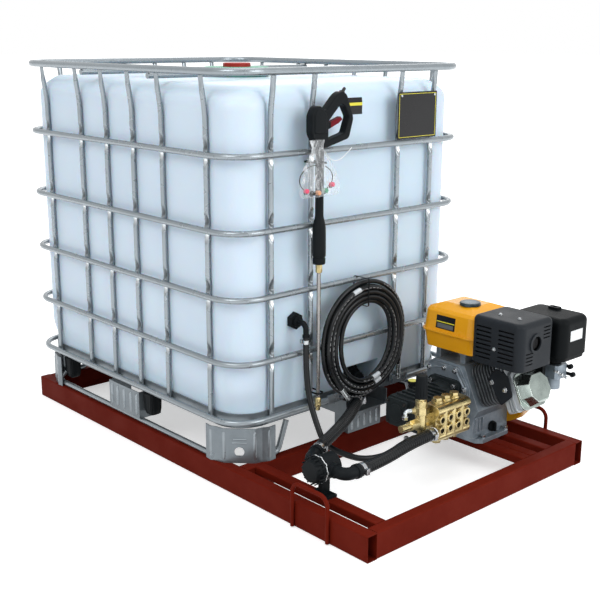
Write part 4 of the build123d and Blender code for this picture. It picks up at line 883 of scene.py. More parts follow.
    @staticmethod
    def run(holder: Object, tree: NodeTree, values: dict, name: str) -> Object:
        """Run a tree on an object and keep the result as a plain mesh.

        Args:
            holder: Curve or mesh that the tree works on; it is removed afterwards.
            tree: The tree.
            values: Input values by name.
            name: Name of the finished piece.

        Returns:
            The finished object.
        """
        step = holder.modifiers.new("form", "NODES")
        step.node_group = tree
        for item in tree.interface.items_tree:
            if item.in_out == "INPUT" and item.name in values:
                step[item.identifier] = values[item.name]
        mesh = plain_mesh(holder)
        holder.modifiers.clear()
        bpy.data.objects.remove(holder)
        mesh.name = name
        return placed(name, mesh, 40.0)


def bolt_points(spots: list[tuple[Point, Point]]) -> Object:
    """Loose points with the direction each bolt faces.

    Args:
        spots: Pairs of place and direction.

    Returns:
        An object of points for the bolt tree.
    """
    data = bpy.data.meshes.new("bolt_points")
    data.from_pydata([place for place, _ in spots], [], [])
    facing = data.attributes.new("facing", "FLOAT_VECTOR", "POINT")
    for k, (_, way) in enumerate(spots):
        facing.data[k].vector = way
    return placed("bolt_points", data, None)


@dataclass
class Assembly:
    """Sub-assembly that takes its finishes from one palette."""

    palette: Palette

    def dressed(self, piece: Object, paint: Paint, slot: str, body: str = STATIC) -> Object:
        """Give a piece a plain finish and its body."""
        return finished(piece, self.palette.of(paint), body)


@dataclass
class Studio:
    """Camera, soft light and a plain pale floor."""

    azimuth: float = 47.8662
    elevation: float = 14.5336
    roll: float = 0.1814
    distance: float = 3.4282
    target: Point = (0.05135, 0.0084, 0.4619)
    lens: float = 61.36
    sensor: float = 36.0
    floor_half: float = 60.0
    shadow_reach: Pair = (0.9, 2.6)
    lamps_aim: Point = (0.0, 0.0, 0.5)
    lamps: tuple[tuple[str, Point, float, float], ...] = (
        ("key", (1.6, -4.4, 4.6), 3.0, 124.0),
        ("fill", (4.8, 1.0, 2.8), 3.0, 116.0),
        ("top", (0.0, 0.6, 5.2), 3.5, 60.0),
        ("back", (-3.6, 4.0, 3.6), 3.0, 45.0),
    )

    def camera(self) -> None:
        """Camera at the photograph's viewing angle."""
        a, e, r = (math.radians(v) for v in (self.azimuth, self.elevation, self.roll))
        back = Vector((math.sin(a) * math.cos(e), -math.cos(a) * math.cos(e), math.sin(e)))
        right = Vector((math.cos(a), math.sin(a), 0.0))
        up = back.cross(right)
        side = right * math.cos(r) + up * math.sin(r)
        rise = up * math.cos(r) - right * math.sin(r)
        data = bpy.data.cameras.new("camera")
        data.lens = self.lens
        data.sensor_width = self.sensor
        data.sensor_fit = "HORIZONTAL"
        data.clip_end = 200.0
        holder = linked("camera", data)
        turn = Matrix((side, rise, back)).transposed().to_4x4()
        turn.translation = Vector(self.target) + back * self.distance
        holder.matrix_world = turn
        bpy.context.scene.camera = holder

    def lamp(self, name: str, place: Point, size: float, power: float) -> None:
        """Square soft lamp.

        Args:
            name: Name of the lamp.
            place: Where it hangs.
            size: Side of the lamp.
            power: Its power in watts.
        """
        data = bpy.data.lights.new(name, "AREA")
        data.size = size
        data.energy = power
        holder = linked(name, data)
        holder.location = place
        holder.rotation_euler = (Vector(place) - Vector(self.lamps_aim)).to_track_quat("Z", "Y").to_euler()

    @staticmethod
    def seen(bench: Bench) -> NodeSocket:
        """One where a camera, glossy or transmitted ray looks, else zero.

        Args:
            bench: Bench of the material or the world.

        Returns:
            The output socket.
        """
        path = bench.node("ShaderNodeLightPath")
        both = bench.math("MAXIMUM", path.outputs["Is Camera Ray"], path.outputs["Is Glossy Ray"])
        return bench.math("MAXIMUM", both, path.outputs["Is Transmission Ray"])

    def world(self) -> None:
        """White surroundings that light the object softly."""
        world = bpy.data.worlds.new("studio")
        bpy.context.scene.world = world
        world.use_nodes = True
        bench = Bench(world.node_tree)
        light = world.node_tree.nodes["Background"]
        bench.fill(light, {"Color": (0.97, 0.985, 1.0), "Strength": 0.62})
        plain = bench.node("ShaderNodeBackground", {"Color": (1.0, 1.0, 1.0), "Strength": 1.0})
        ways = {0: self.seen(bench), 1: light.outputs[0], 2: plain.outputs[0]}
        choice = bench.node("ShaderNodeMixShader", ways)
        bench.join(choice.outputs[0], world.node_tree.nodes["World Output"].inputs["Surface"])

    def floor(self) -> None:
        """Wide white floor that keeps the object's shadow and turns plain white away from it."""
        data = bpy.data.meshes.new("floor")
        wide = self.floor_half
        corners = [(x, y, 0) for x, y in rectangle((-wide, -wide), (wide, wide))]
        data.from_pydata(corners, [], [(0, 1, 2, 3)])
        piece = placed("floor", data, None)
        material, bench, shader = new_material("floor_white")
        away = bench.node("ShaderNodeVectorMath", {0: bench.place()}, operation="LENGTH").outputs["Value"]
        glow = bench.ramp(away, self.shadow_reach, (0.52, 1.0))
        bench.fill(shader, {
            "Base Color": (0.80, 0.80, 0.80), "Roughness": 0.9, "Specular IOR Level": 0.0,
            "Emission Color": (1.0, 1.0, 1.0), "Emission Strength": bench.times(self.seen(bench), glow),
        })
        data.materials.append(material)

    def build(self) -> None:
        """Set up the whole studio."""
        self.camera()
        self.world()
        self.floor()
        for lamp in self.lamps:
            self.lamp(*lamp)
        bpy.context.scene.view_settings.view_transform = "Standard"


@dataclass
class Hoses(Assembly):
    """Suction hoses and the return hose, each along its route's points."""

    forms: NodeForms
    suction_radius: float = 0.018
    suction_root: float = 0.0160
    rib_pitch: float = 0.0088
    cuff: float = 0.034
    return_radius: float = 0.009
    ribbed_step: float = 0.0011
    plain_step: float = 0.004
    elbow_way: Vector = field(default_factory=lambda: Vector((0.44, -0.84, -0.32)).normalized())
    filter_way: Vector = field(default_factory=lambda: Vector((-0.423, 0.903, 0.077)).normalized())
    # Places in millimetres from the tank's front face, reaches in metres
    elbow_at: Point = (-30, 55, 205)
    filter_at: Point = (206, -398, 164)
    elbow_reach: Pair = (0.050, 0.055)
    filter_reach: Pair = (0.052, 0.057)
    tank_line: tuple[Point, ...] = ((64, -113, 169), (116, -210, 170))
    pump_line: tuple[Point, ...] = ((350, -350, 162), (350, -264, 162), (341, -107, 181), (341, -27, 181))
    return_line: tuple[Point, ...] = (
        (16, -241, 448), (16, -241, 405), (24, -246, 338), (42, -252, 268), (70, -252, 206), (108, -250, 136),
        (185, -238, 124), (250, -224, 126), (295, -174, 140), (308, -122, 168), (308, -80, 168),
    )

    def tank_route(self) -> list[Point]:
        """Control points from the tank valve's elbow to the filter.

        Returns:
            The points, in metres.
        """
        start = Vector(from_front(*self.elbow_at)) + self.elbow_way * self.elbow_reach[0]
        end = Vector(from_front(*self.filter_at)) + self.filter_way * self.filter_reach[0]
        first = start + self.elbow_way * self.elbow_reach[1]
        last = end + self.filter_way * self.filter_reach[1]
        middle = [from_front(*spot) for spot in self.tank_line]
        return [tuple(start), tuple(first), *middle, tuple(last), tuple(end)]

    def add(self, name: str, node: str, points: list[Point], values: dict, stiffness: str) -> None:
        """Args:
            name: Name of the piece.
            node: CAD node that it stands for.
            points: Control points of its line.
            values: Sizes for the hose tree.
            stiffness: Not used.
        """
        line = spline_points(points)
        piece = self.forms.run(spline_curve(points), self.forms.hose, values, name)
        finished(piece, values["Material"])
        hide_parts(node)

    def build(self) -> None:
        """Make all three hoses."""
        rubber = self.palette.of(Paint.RUBBER)
        ribbed = {"Radius": self.suction_radius, "Root": self.suction_root, "Pitch": self.rib_pitch,
                  "Cuff": self.cuff, "Step": self.ribbed_step, "Sides": 32, "Material": rubber}
        plain = {"Radius": self.return_radius, "Root": self.return_radius, "Step": self.plain_step,
                 "Sides": 24, "Material": rubber}
        to_pump = [from_front(*spot) for spot in self.pump_line]
        back = [from_front(*spot) for spot in self.return_line]
        self.add("suction_hose_from_tank", "suction_hose_tank", self.tank_route(), ribbed, "stiff")
        self.add("suction_hose_to_pump", "suction_hose_pump", to_pump, ribbed, "stiff")
        self.add("return_hose", "bypass_hose", back, plain, "medium")


def spline_curve(points: list[Point]) -> Object:
    """Curve of one open spline with the points as its control points.

    Args:
        points: Control points in metres.

    Returns:
        The curve object, without thickness.
    """
    curve = bpy.data.curves.new("route", "CURVE")
    curve.dimensions = "3D"
    spline = curve.splines.new("NURBS")
    spline.points.add(len(points) - 1)
    for spot, place in zip(spline.points, points):
        spot.co = (*place, 1.0)
    spline.order_u = 3
    spline.use_endpoint_u = True
    spline.resolution_u = 16
    return linked("route", curve)


def spline_points(points: list[Point]) -> list[Point]:
    """Points read from the smooth line of a route.

    Args:
        points: Control points in metres.

    Returns:
        Points along the line.
    """
    holder = spline_curve(points)
    line = [tuple(v.co) for v in plain_mesh(holder).vertices]
    bpy.data.objects.remove(holder)
    return line


@dataclass
class PressureHose(Assembly):
    """Pressure hose coiled in two layers on the front of the cage."""

    forms: NodeForms
    radius: float = 0.00725
    pitch: float = 0.0152
    layer: float = 0.0155
    back: float = 0.016
    middle_y: float = -0.003
    middle_z: float = 0.395
    outer: float = 0.181
    straight: float = 0.010
    turns: int = 4
    corners: int = 6
    start_at: Pair = (0.162, 0.2815)
    start_rise: Pair = (0.024, 0.079)
    end_at: Pair = (-0.11085, 0.26062)
    end_turn: float = 37.0
    step: float = 0.008
    tape_half: float = 0.017
    tape_skin: float = 0.0005
    tape_sides: int = 20
    front_margin: float = 0.001

    def route(self) -> list[Point]:
        """Control points of the coil: in on the back layer, out again on the front layer.

        Returns:
            The points, in metres.
        """
        rear = FRONT + self.back + self.radius
        near = rear + self.layer
        top = self.middle_z + self.straight
        low = self.middle_z - self.straight
        step = self.pitch / 2.0
        halves = 2 * self.turns
        inner = self.outer - step * halves
        reach = [self.outer - step * k for k in range(halves + 1)]
        reach += [inner - step] + [inner + step * k for k in range(1, halves - 1)]
        y, z = self.start_at
        first, second = self.start_rise
        points = [(rear, y, z), (rear, y, z + first), (rear, self.middle_y + self.outer, z + second)]
        half_step = math.pi / self.corners / 2.0
        for k in range(len(reach) - 1):
            sign = 1.0 if k % 2 == 0 else -1.0
            level = top if k % 2 == 0 else low
            x0 = rear if k <= halves else near
            x1 = rear if k + 1 <= halves else near
            size = (reach[k] + reach[k + 1]) / 2.0
            centre = self.middle_y + sign * (reach[k] - reach[k + 1]) / 2.0
            for n in range(self.corners):
                angle = (2 * n + 1) * half_step
                across = sign * size * math.cos(angle) / math.cos(half_step)
                rise = sign * size * math.sin(angle) / math.cos(half_step)
                x = x0 + (x1 - x0) * (n + 0.5) / self.corners
                points.append((x, centre + across, level + rise))
        return points + self.tail(near, self.middle_y - reach[-1])

    def tail(self, x: float, y: float) -> list[Point]:
        """Control points where the front end swings off the coil to its fitting.

        Args:
            x: Plane of the front layer.
            y: Where the last turn comes down.

        Returns:
            The last control points.
        """
        swing = math.radians(self.end_turn)
        end_y, end_z = self.end_at
        back = (end_y - y) / math.sin(swing)
        return [(x, y, end_z + back * math.cos(swing)), (x, end_y, end_z)]

    def build(self, ferrules: Object) -> None:
        """Args:
            ferrules: Not used.
        """
        points = self.route()
        line = spline_points(points)
        material = self.palette.marked_hose()
        values = {"Radius": self.radius, "Root": self.radius, "Step": self.step, "Sides": 18,
                  "Material": material}
        piece = self.forms.run(spline_curve(points), self.forms.hose, values, "pressure_hose_coil")
        finished(piece, material)
        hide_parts("pressure_hose")
        tapes = [self.tape("hose_tape_top", line, 107.0, (0.148, 0.190)),
                 self.tape("hose_tape_low", line, -69.0, (0.112, 0.150))]

    def tape(self, name: str, line: list[Point], angle: float, reach: Pair) -> Object:
        """White tape wound around the front turns at one place of the coil.

        Args:
            name: Name of the piece.
            line: Points along the hose.
            angle: Place around the coil, in degrees from +Y towards +Z.
            reach: Least and greatest distance of the turns from the coil's middle.

        Returns:
            The piece.
        """
        near = FRONT + self.back + self.radius + self.layer - self.front_margin
        level = self.middle_z + (self.straight if angle > 0.0 else -self.straight)
        way = Vector((0.0, math.cos(math.radians(angle)), math.sin(math.radians(angle))))
        runs: list[list[Vector]] = [[]]
        for spot in line:
            arm = Vector(spot) - Vector((spot[0], self.middle_y, level))
            beside = (arm - way * arm.dot(way)).length
            if spot[0] > near and reach[0] < arm.dot(way) < reach[1] and beside < self.tape_half:
                runs[-1].append(Vector(spot))
            elif runs[-1]:
                runs.append([])
        shape = Shape()
        for run in (r for r in runs if len(r) > 2):
            across = AHEAD.cross(run[-1] - run[0]).normalized()
            size = self.radius + self.tape_skin
            shape.ring_loft([circle(spot, AHEAD, across, size, self.tape_sides) for spot in run])
        return self.dressed(shape.done(name, 50.0), Paint.TAPE, "tank_plastic")


@dataclass
class Cage(Assembly):
    """Uprights of the tank's cage, pinched beside every hoop."""

    hoop: float = 0.018
    bar: float = 0.008
    gap: float = 0.0001
    bottom: float = 0.197
    lean_from: float = 1.090
    top: float = 1.2139
    hoops: Row = (0.394, 0.5865, 0.7805, 0.996)
    middle_x: float = -0.26175
    rear_x: float = -0.86175
    half_width: float = 0.5
    sides: int = 14
    rings: int = 240
    side_bars: Row = (-0.448, -0.232, -0.076, 0.076, 0.232, 0.448)
    front_bars: Row = (-0.341, -0.185, 0.185, 0.341)
    rear_bars: Row = (-0.341, -0.205, -0.068, 0.068, 0.205, 0.341)
    dent_from: float = 0.009
    dent_above: float = 0.052
    dent_below: float = 0.042
    dent_skew: float = 0.55
    dent_depth: float = 1.45
    dent_slope: float = 0.45
    dent_spread: float = 0.22
    dent_shade: float = 1.5
    top_inset: float = 0.011
    lean_start: float = 0.4
    flat_from: float = 0.040
    flat_over: float = 0.022
    flat_thin: float = 0.45
    flat_spread: float = 0.22

    def spots(self) -> list[tuple[float, float, float, float]]:
        """Place and outward direction of every upright.

        Returns:
            The place and the direction, each as X and Y.
        """
        inset = self.hoop + self.gap + self.bar
        y = self.half_width - inset
        found = []
        for x in self.side_bars:
            found += [(self.middle_x + x, -y, 0.0, -1.0), (self.middle_x + x, y, 0.0, 1.0)]
        found += [(FRONT - inset, v, 1.0, 0.0) for v in self.front_bars]
        found += [(self.rear_x + inset, v, -1.0, 0.0) for v in self.rear_bars]
        return found

    def pinch(self, z: float) -> float:
        """How far the outer side of a bar is pressed in at a height.

        Args:
            z: The height.

        Returns:
            The depth, from 0 to 1.
        """
        depth = 0.0
        for hoop in self.hoops:
            reach = self.dent_above if z > hoop else self.dent_below
            away = abs(z - hoop)
            if self.dent_from < away < reach:
                share = (away - self.dent_from) / (reach - self.dent_from)
                depth = max(depth, math.sin(math.pi * share**self.dent_skew))
        return depth

    def ring(self, x: float, y: float, out: Vector, z: float) -> list[Vector]:
        """One ring of points around an upright.

        Args:
            x: Middle of the bar.
            y: Middle of the bar.
            out: Outward direction.
            z: Height of the ring.

        Returns:
            The ring's points.
        """
        lean = self.hoop + self.gap + self.bar - self.top_inset
        share = max(0.0, (z - self.lean_from) / (self.top + self.bar - self.lean_from))
        middle = Vector((x, y, z)) + out * lean * share * min(1.0, self.lean_start + share)
        side = Vector((-out.y, out.x, 0.0))
        pinch = self.pinch(z)
        flat = max(0.0, min(1.0, (z - self.top + self.flat_from) / self.flat_over))
        points = []
        for angle in ring_angles(self.sides):
            ahead = math.cos(angle) * self.bar * (1.0 - self.flat_thin * flat)
            spread = 1.0 + self.flat_spread * flat + self.dent_spread * pinch
            across = math.sin(angle) * self.bar * spread
            limit = self.bar * (1.0 - self.dent_depth * pinch) + self.dent_slope * abs(across) * pinch
            points.append(middle + out * min(ahead, limit) + side * across)
        return points

    def build(self) -> None:
        """Make all the uprights as one piece."""
        shape = Shape()
        dent_light_values = []
        facing = [max(0.0, math.cos(angle)) for angle in ring_angles(self.sides)]
        rise = self.top - self.bottom
        heights = [self.bottom + rise * k / self.rings for k in range(self.rings + 1)]
        for x, y, ox, oy in self.spots():
            out = Vector((ox, oy, 0.0))
            shape.ring_loft([self.ring(x, y, out, z) for z in heights])
            for z in heights:
                # Painted dent light: below zero for the painted shade above a hoop, above zero for the
                # painted highlight below it, on the outward side only.
                nearest = min(self.hoops, key=lambda hoop: abs(hoop - z))
                mark = self.pinch(z) ** self.dent_shade * (-1.0 if z > nearest else 1.0)
                dent_light_values += [mark * f for f in facing]
        piece = shape.done("pinched_uprights", 60.0)
        # Keep the painted shade and painted highlight of the dents on the points for the tube's material.
        pressed = piece.data.attributes.new("pressed", "FLOAT", "POINT")
        pressed.data.foreach_set("value", dent_light_values)
        finished(piece, self.palette.painted_dent_light_tube())
        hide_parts("cage_uprights")


@dataclass
class BottleWall(Assembly):
    """Soft bulges of the tank's wall between the cage's uprights and around its corners."""

    cage: Cage
    inset: float = 0.042
    corner: float = 0.095
    shoulder: float = 0.065
    top: float = 1.186
    low: float = 0.234
    swell: float = 0.0068
    depth: float = 0.0034
    corner_depth: float = 0.0110
    skin: float = 0.0008
    inner_skin: float = 0.0024
    steps: int = 10
    levels: int = 60
    edge: float = 0.004
    rise_over: float = 0.080
    fall_over: float = 0.045
    fade_over: float = 0.030
    fullness: float = 0.85

    def rows(self) -> list[tuple[float, float, float]]:
        """Levels of the wall from its foot to its top.

        Returns:
            Each level's height, the wall's inset and the share of the bulge there.
        """
        found = []
        end = self.top - self.edge
        for k in range(self.levels + 1):
            z = self.low + (end - self.low) * k / self.levels
            over = max(0.0, z - (self.top - self.shoulder))
            inset = self.inset + self.shoulder - math.sqrt(self.shoulder**2 - over**2)
            rise = min(1.0, (z - self.low) / self.rise_over)
            fall = min(1.0, (end - z) / self.fall_over)
            found.append((z, inset, eased(rise) * eased(fall)))
        return found

    def side(self, start: float, end: float, sign: float, along_x: bool) -> list[Spot]:
        """Spots of one straight bay.

        Args:
            start: Where the bay starts along its side.
            end: Where it ends.
            sign: Side of the tank, 1 or -1.
            along_x: Whether the bay runs along X.

        Returns:
            Points without inset, each with its outward direction.
        """
        spots = []
        for k in range(self.steps + 1):
            at = start + (end - start) * k / self.steps
            if along_x:
                spots.append((Vector((at, sign * self.cage.half_width, 0.0)), Vector((0.0, sign, 0.0))))
            else:
                x = FRONT if sign > 0 else self.cage.rear_x
                spots.append((Vector((x, at, 0.0)), Vector((sign, 0.0, 0.0))))
        return spots

    def bend(self, x_sign: float, y_sign: float) -> list[Spot]:
        """Spots around one corner, from its last side upright to its first end upright.

        Args:
            x_sign: End of the tank, 1 or -1.
            y_sign: Side of the tank, 1 or -1.

        Returns:
            Points without inset, each with its outward direction.
        """
        edge = FRONT if x_sign > 0 else self.cage.rear_x
        reach = self.inset + self.corner
        middle = Vector((edge - x_sign * reach, y_sign * (self.cage.half_width - reach), 0.0))
        first = self.cage.middle_x + x_sign * self.cage.side_bars[-1]
        straight = self.side(first, middle.x, y_sign, True)[::2]
        arc = []
        for k in range(1, 2 * self.steps):
            turn = math.pi / 4 * k / self.steps
            out = Vector((x_sign * math.sin(turn), y_sign * math.cos(turn), 0.0))
            arc.append((middle + out * reach, out))
        rest = self.side(middle.y, y_sign * self.cage.rear_bars[-1], x_sign, False)[::2]
        return straight + arc + rest

    def bays(self) -> list[tuple[list[Spot], float]]:
        """Bays around the tank in order.

        Returns:
            The spots of each bay and how far its middle stands out.
        """
        bars = [self.cage.middle_x + x for x in self.cage.side_bars]
        ends = self.cage.rear_bars
        found = [(self.bend(1.0, -1.0)[::-1], self.corner_depth)]
        found += [(self.side(b, a, -1.0, True), self.depth) for a, b in reversed(list(zip(bars, bars[1:])))]
        found.append((self.bend(-1.0, -1.0), self.corner_depth))
        found += [(self.side(a, b, -1.0, False), self.depth) for a, b in zip(ends, ends[1:])]
        found.append((self.bend(-1.0, 1.0)[::-1], self.corner_depth))
        found += [(self.side(a, b, 1.0, True), self.depth) for a, b in zip(bars, bars[1:])]
        found.append((self.bend(1.0, 1.0), self.corner_depth))
        return found

    def trail(self) -> list[tuple[Vector, Vector, float]]:
        """Spots around the tank's back and sides, from one front corner to the other.

        Returns:
            Each spot, its outward direction and how far the wall stands out there.
        """
        found = []
        bays = self.bays()
        for n, (spots, depth) in enumerate(bays):
            run = [0.0]
            for (a, _), (b, _) in zip(spots, spots[1:]):
                run.append(run[-1] + (b - a).length)
            for at, (spot, out) in zip(run, spots):
                to_end = at if n == 0 else run[-1] - at if n == len(bays) - 1 else 1.0
                fade = min(1.0, to_end / self.fade_over)
                bulge = max(0.0, math.sin(math.pi * at / run[-1])) ** self.fullness
                if not found or (spot - found[-1][0]).length > 1e-5:
                    found.append((spot, out, self.swell * fade + depth * bulge))
        return found

    def build(self) -> None:
        """Make the fuller wall as one piece."""
        shape = Shape()
        trail = self.trail()
        rows = []
        for z, inset, share in self.rows():
            outer = []
            inner = []
            for spot, out, lift in trail:
                wall = spot - out * inset
                outer.append(Vector((wall.x, wall.y, z)) + out * (lift * share - self.skin))
                inner.append(Vector((wall.x, wall.y, z)) - out * self.inner_skin)
            rows.append(outer + inner[::-1])
        shape.ring_loft(rows)
        self.dressed(shape.done("tank_wall_bulges", 60.0), Paint.BOTTLE, "tank_plastic")


@dataclass
class Spacers(Assembly):
    """Ribbed plastic blocks that hang under the tray beside its legs."""

    width: float = 0.050
    depth: float = 0.046
    top: float = 0.186
    low: float = 0.112
    starts: Row = (-0.18875, -0.70175)
    middle: Pair = (0.028, 0.450)
    points: int = 64
    ribs: int = 16
    rib: float = 0.035
    squareness: float = 0.45
    levels: Pairs = ((1.0, 1.0), (0.92, 1.0), (0.30, 0.94), (0.12, 0.86), (0.03, 0.72), (0.0, 0.55))

    def ring(self, x: float, y: float, height: float, size: float) -> list[Vector]:
        """One level of a block, a ribbed square with round corners.

        Args:
            x: Middle of the block.
            y: Middle of the block.
            height: Share of the block's height.
            size: Share of its width and depth.

        Returns:
            The ring's points.
        """
        middle = Vector((x, y, 0.0))
        z = self.low + (self.top - self.low) * height
        found = []
        for a in ring_angles(self.points):
            rib = 1.0 + self.rib * math.cos(self.ribs * a)
            c, n = (math.copysign(abs(v) ** self.squareness, v) for v in (math.cos(a), math.sin(a)))
            x_part = c * self.width / 2 * size * rib
            y_part = n * self.depth / 2 * size * rib
            found.append(middle + Vector((x_part, y_part, z)))
        return found

    def build(self) -> None:
        """Make the blocks on both sides as one piece."""
        shape = Shape()
        ahead, beside = self.middle
        for x in self.starts:
            for sign in (-1.0, 1.0):
                shape.ring_loft([self.ring(x + ahead, sign * beside, *level) for level in self.levels])
        piece = self.dressed(shape.done("ribbed_spacers", 40.0), Paint.PLASTIC, "black_plastic")
        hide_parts("leg_spacers")


@dataclass
class LegRibs(Assembly):
    """Pressed ribs on the faces of the pallet's legs."""

    cage: Cage
    radius: float = 0.150
    inset: float = 0.165
    rib: float = 0.0065
    low: float = 0.084
    high: float = 0.178
    sink: float = 0.0015
    corner_angles: Row = (81, 63, 27, 9)
    flat_turn: float = 12.0
    bead_heights: Pair = (0.140, 0.152)
    bead_half: float = 0.022
    bead_sink: float = 0.0005
    bead: Pairs = ((0.0, 0.0008), (0.001, 0.0024), (0.043, 0.0024), (0.044, 0.0008))
    side_ribs: Row = (-0.092, -0.058, -0.018, 0.022, 0.056)
    side_face: float = 0.4825
    side_low: float = 0.104
    front_ribs: Row = (-0.012, 0.016, 0.045, 0.074, 0.102)
    front_sink: float = 0.0145
    front_high: float = 0.131

    def upright(self, shape: Shape, x: float, y: float, low: float, high: float) -> None:
        """One standing rib with rounded ends.

        Args:
            shape: Shape that gets the rib.
            x: Middle of the rib.
            y: Middle of the rib.
            low: Its lower end.
            high: Its upper end.
        """
        size = self.rib
        profile = [(low, size * 0.3), (low + size * 0.4, size * 0.8), (low + size, size)]
        profile += [(high - size, size), (high - size * 0.4, size * 0.8), (high, size * 0.3)]
        shape.lathe((x, y, 0.0), UP, profile, 16)

    def corner(self, shape: Shape, x_sign: float, y_sign: float) -> None:
        """Ribs and two level beads of one corner leg.

        Args:
            shape: Shape that gets them.
            x_sign: End of the tank, 1 or -1.
            y_sign: Side of the tank, 1 or -1.
        """
        edge = FRONT if x_sign > 0 else self.cage.rear_x
        x = edge - x_sign * self.inset
        y = y_sign * (self.cage.half_width - self.inset)
        reach = self.radius - self.sink
        for angle in self.corner_angles:
            turn = math.radians(angle)
            rib_x = x + x_sign * reach * math.cos(turn)
            self.upright(shape, rib_x, y + y_sign * reach * math.sin(turn), self.low, self.high)
        flat = self.radius * math.cos(math.radians(self.flat_turn))
        out = Vector((x_sign, y_sign, 0.0)).normalized()
        across = Vector((-out.y, out.x, 0.0))
        for z in self.bead_heights:
            middle = Vector((x, y, z)) + out * (flat - self.bead_sink)
            shape.lathe(middle - across * self.bead_half, across, self.bead, 12)

    def build(self) -> None:
        """Make the ribs of all the legs as one piece."""
        shape = Shape()
        for y_sign in (-1.0, 1.0):
            for x_sign in (-1.0, 1.0):
                self.corner(shape, x_sign, y_sign)
            for across in self.side_ribs:
                x = self.cage.middle_x + across
                self.upright(shape, x, y_sign * self.side_face, self.side_low, self.high)
        for y in self.front_ribs:
            self.upright(shape, FRONT - self.front_sink, y, self.low, self.front_high)
        self.dressed(shape.done("leg_ribs", 50.0), Paint.ZINC_DIP, "galvanised")


@dataclass
class SmallParts(Assembly):
    """Screws and intake flange of the carburettor, and grip ribs of the filter bowl."""

    screw_face: float = 0.8055
    screws: Pairs = ((0.388, 0.316), (0.436, 0.288), (0.412, 0.302))
    screw: Pairs = (
        (0.0, 0.0028), (0.006, 0.0028), (0.0072, 0.0043), (0.0084, 0.0028), (0.0096, 0.0043),
        (0.0108, 0.0028), (0.012, 0.0043), (0.0132, 0.0028), (0.0138, 0.0052), (0.0168, 0.0052),
        (0.0172, 0.0042),
    )
    flange: tuple[Point, Point] = ((0.744, 0.350, 0.300), (0.790, 0.3645, 0.344))
    bowl: Point = (FRONT + 0.265, -0.4201, 0.160)
    bowl_radius: float = 0.038
    ribs: int = 16
    rib_from: float = 0.006
    rib_sink: float = 0.001
    rib_foot: float = 0.0022
    rib_crest: float = 0.0016
    rib_height: float = 0.0030
    rib_length: float = 0.022

    def carburettor(self) -> None:
        """Spring screws on the carburettor's face and the flange at its intake."""
        bright = Shape()
        for y, z in self.screws:
            bright.lathe((self.screw_face, y, z), AHEAD, self.screw, 16)
        self.dressed(bright.done("carburettor_screws", 40.0), Paint.STEEL, "steel")
        dark = Shape()
        dark.block(*self.flange)
        self.dressed(dark.done("intake_flange", 35.0, 0.004, 3), Paint.CLEANER, "black_plastic")

    def bowl_ribs(self) -> None:
        """Ribs around the filter bowl, turning with it."""
        x, y, z = self.bowl
        shape = Shape()
        for a in ring_angles(self.ribs):
            out = Vector((math.cos(a), 0.0, math.sin(a)))
            side = Vector((-math.sin(a), 0.0, math.cos(a)))
            base = Vector((x, y - self.rib_from, z)) + out * (self.bowl_radius - self.rib_sink)
            foot = side * self.rib_foot
            crest = side * self.rib_crest
            high = out * self.rib_height
            corners = [base - foot, base + foot, base + crest + high, base - crest + high]
            shape.slab(corners, Vector((0.0, -self.rib_length, 0.0)))
        piece = shape.done("filter_bowl_ribs", 35.0, 0.0004)
        self.dressed(piece, Paint.PLASTIC, "black_plastic", "filter_bowl_body")

    def build(self) -> None:
        """Make the screws and the ribs."""
        self.carburettor()
        self.bowl_ribs()


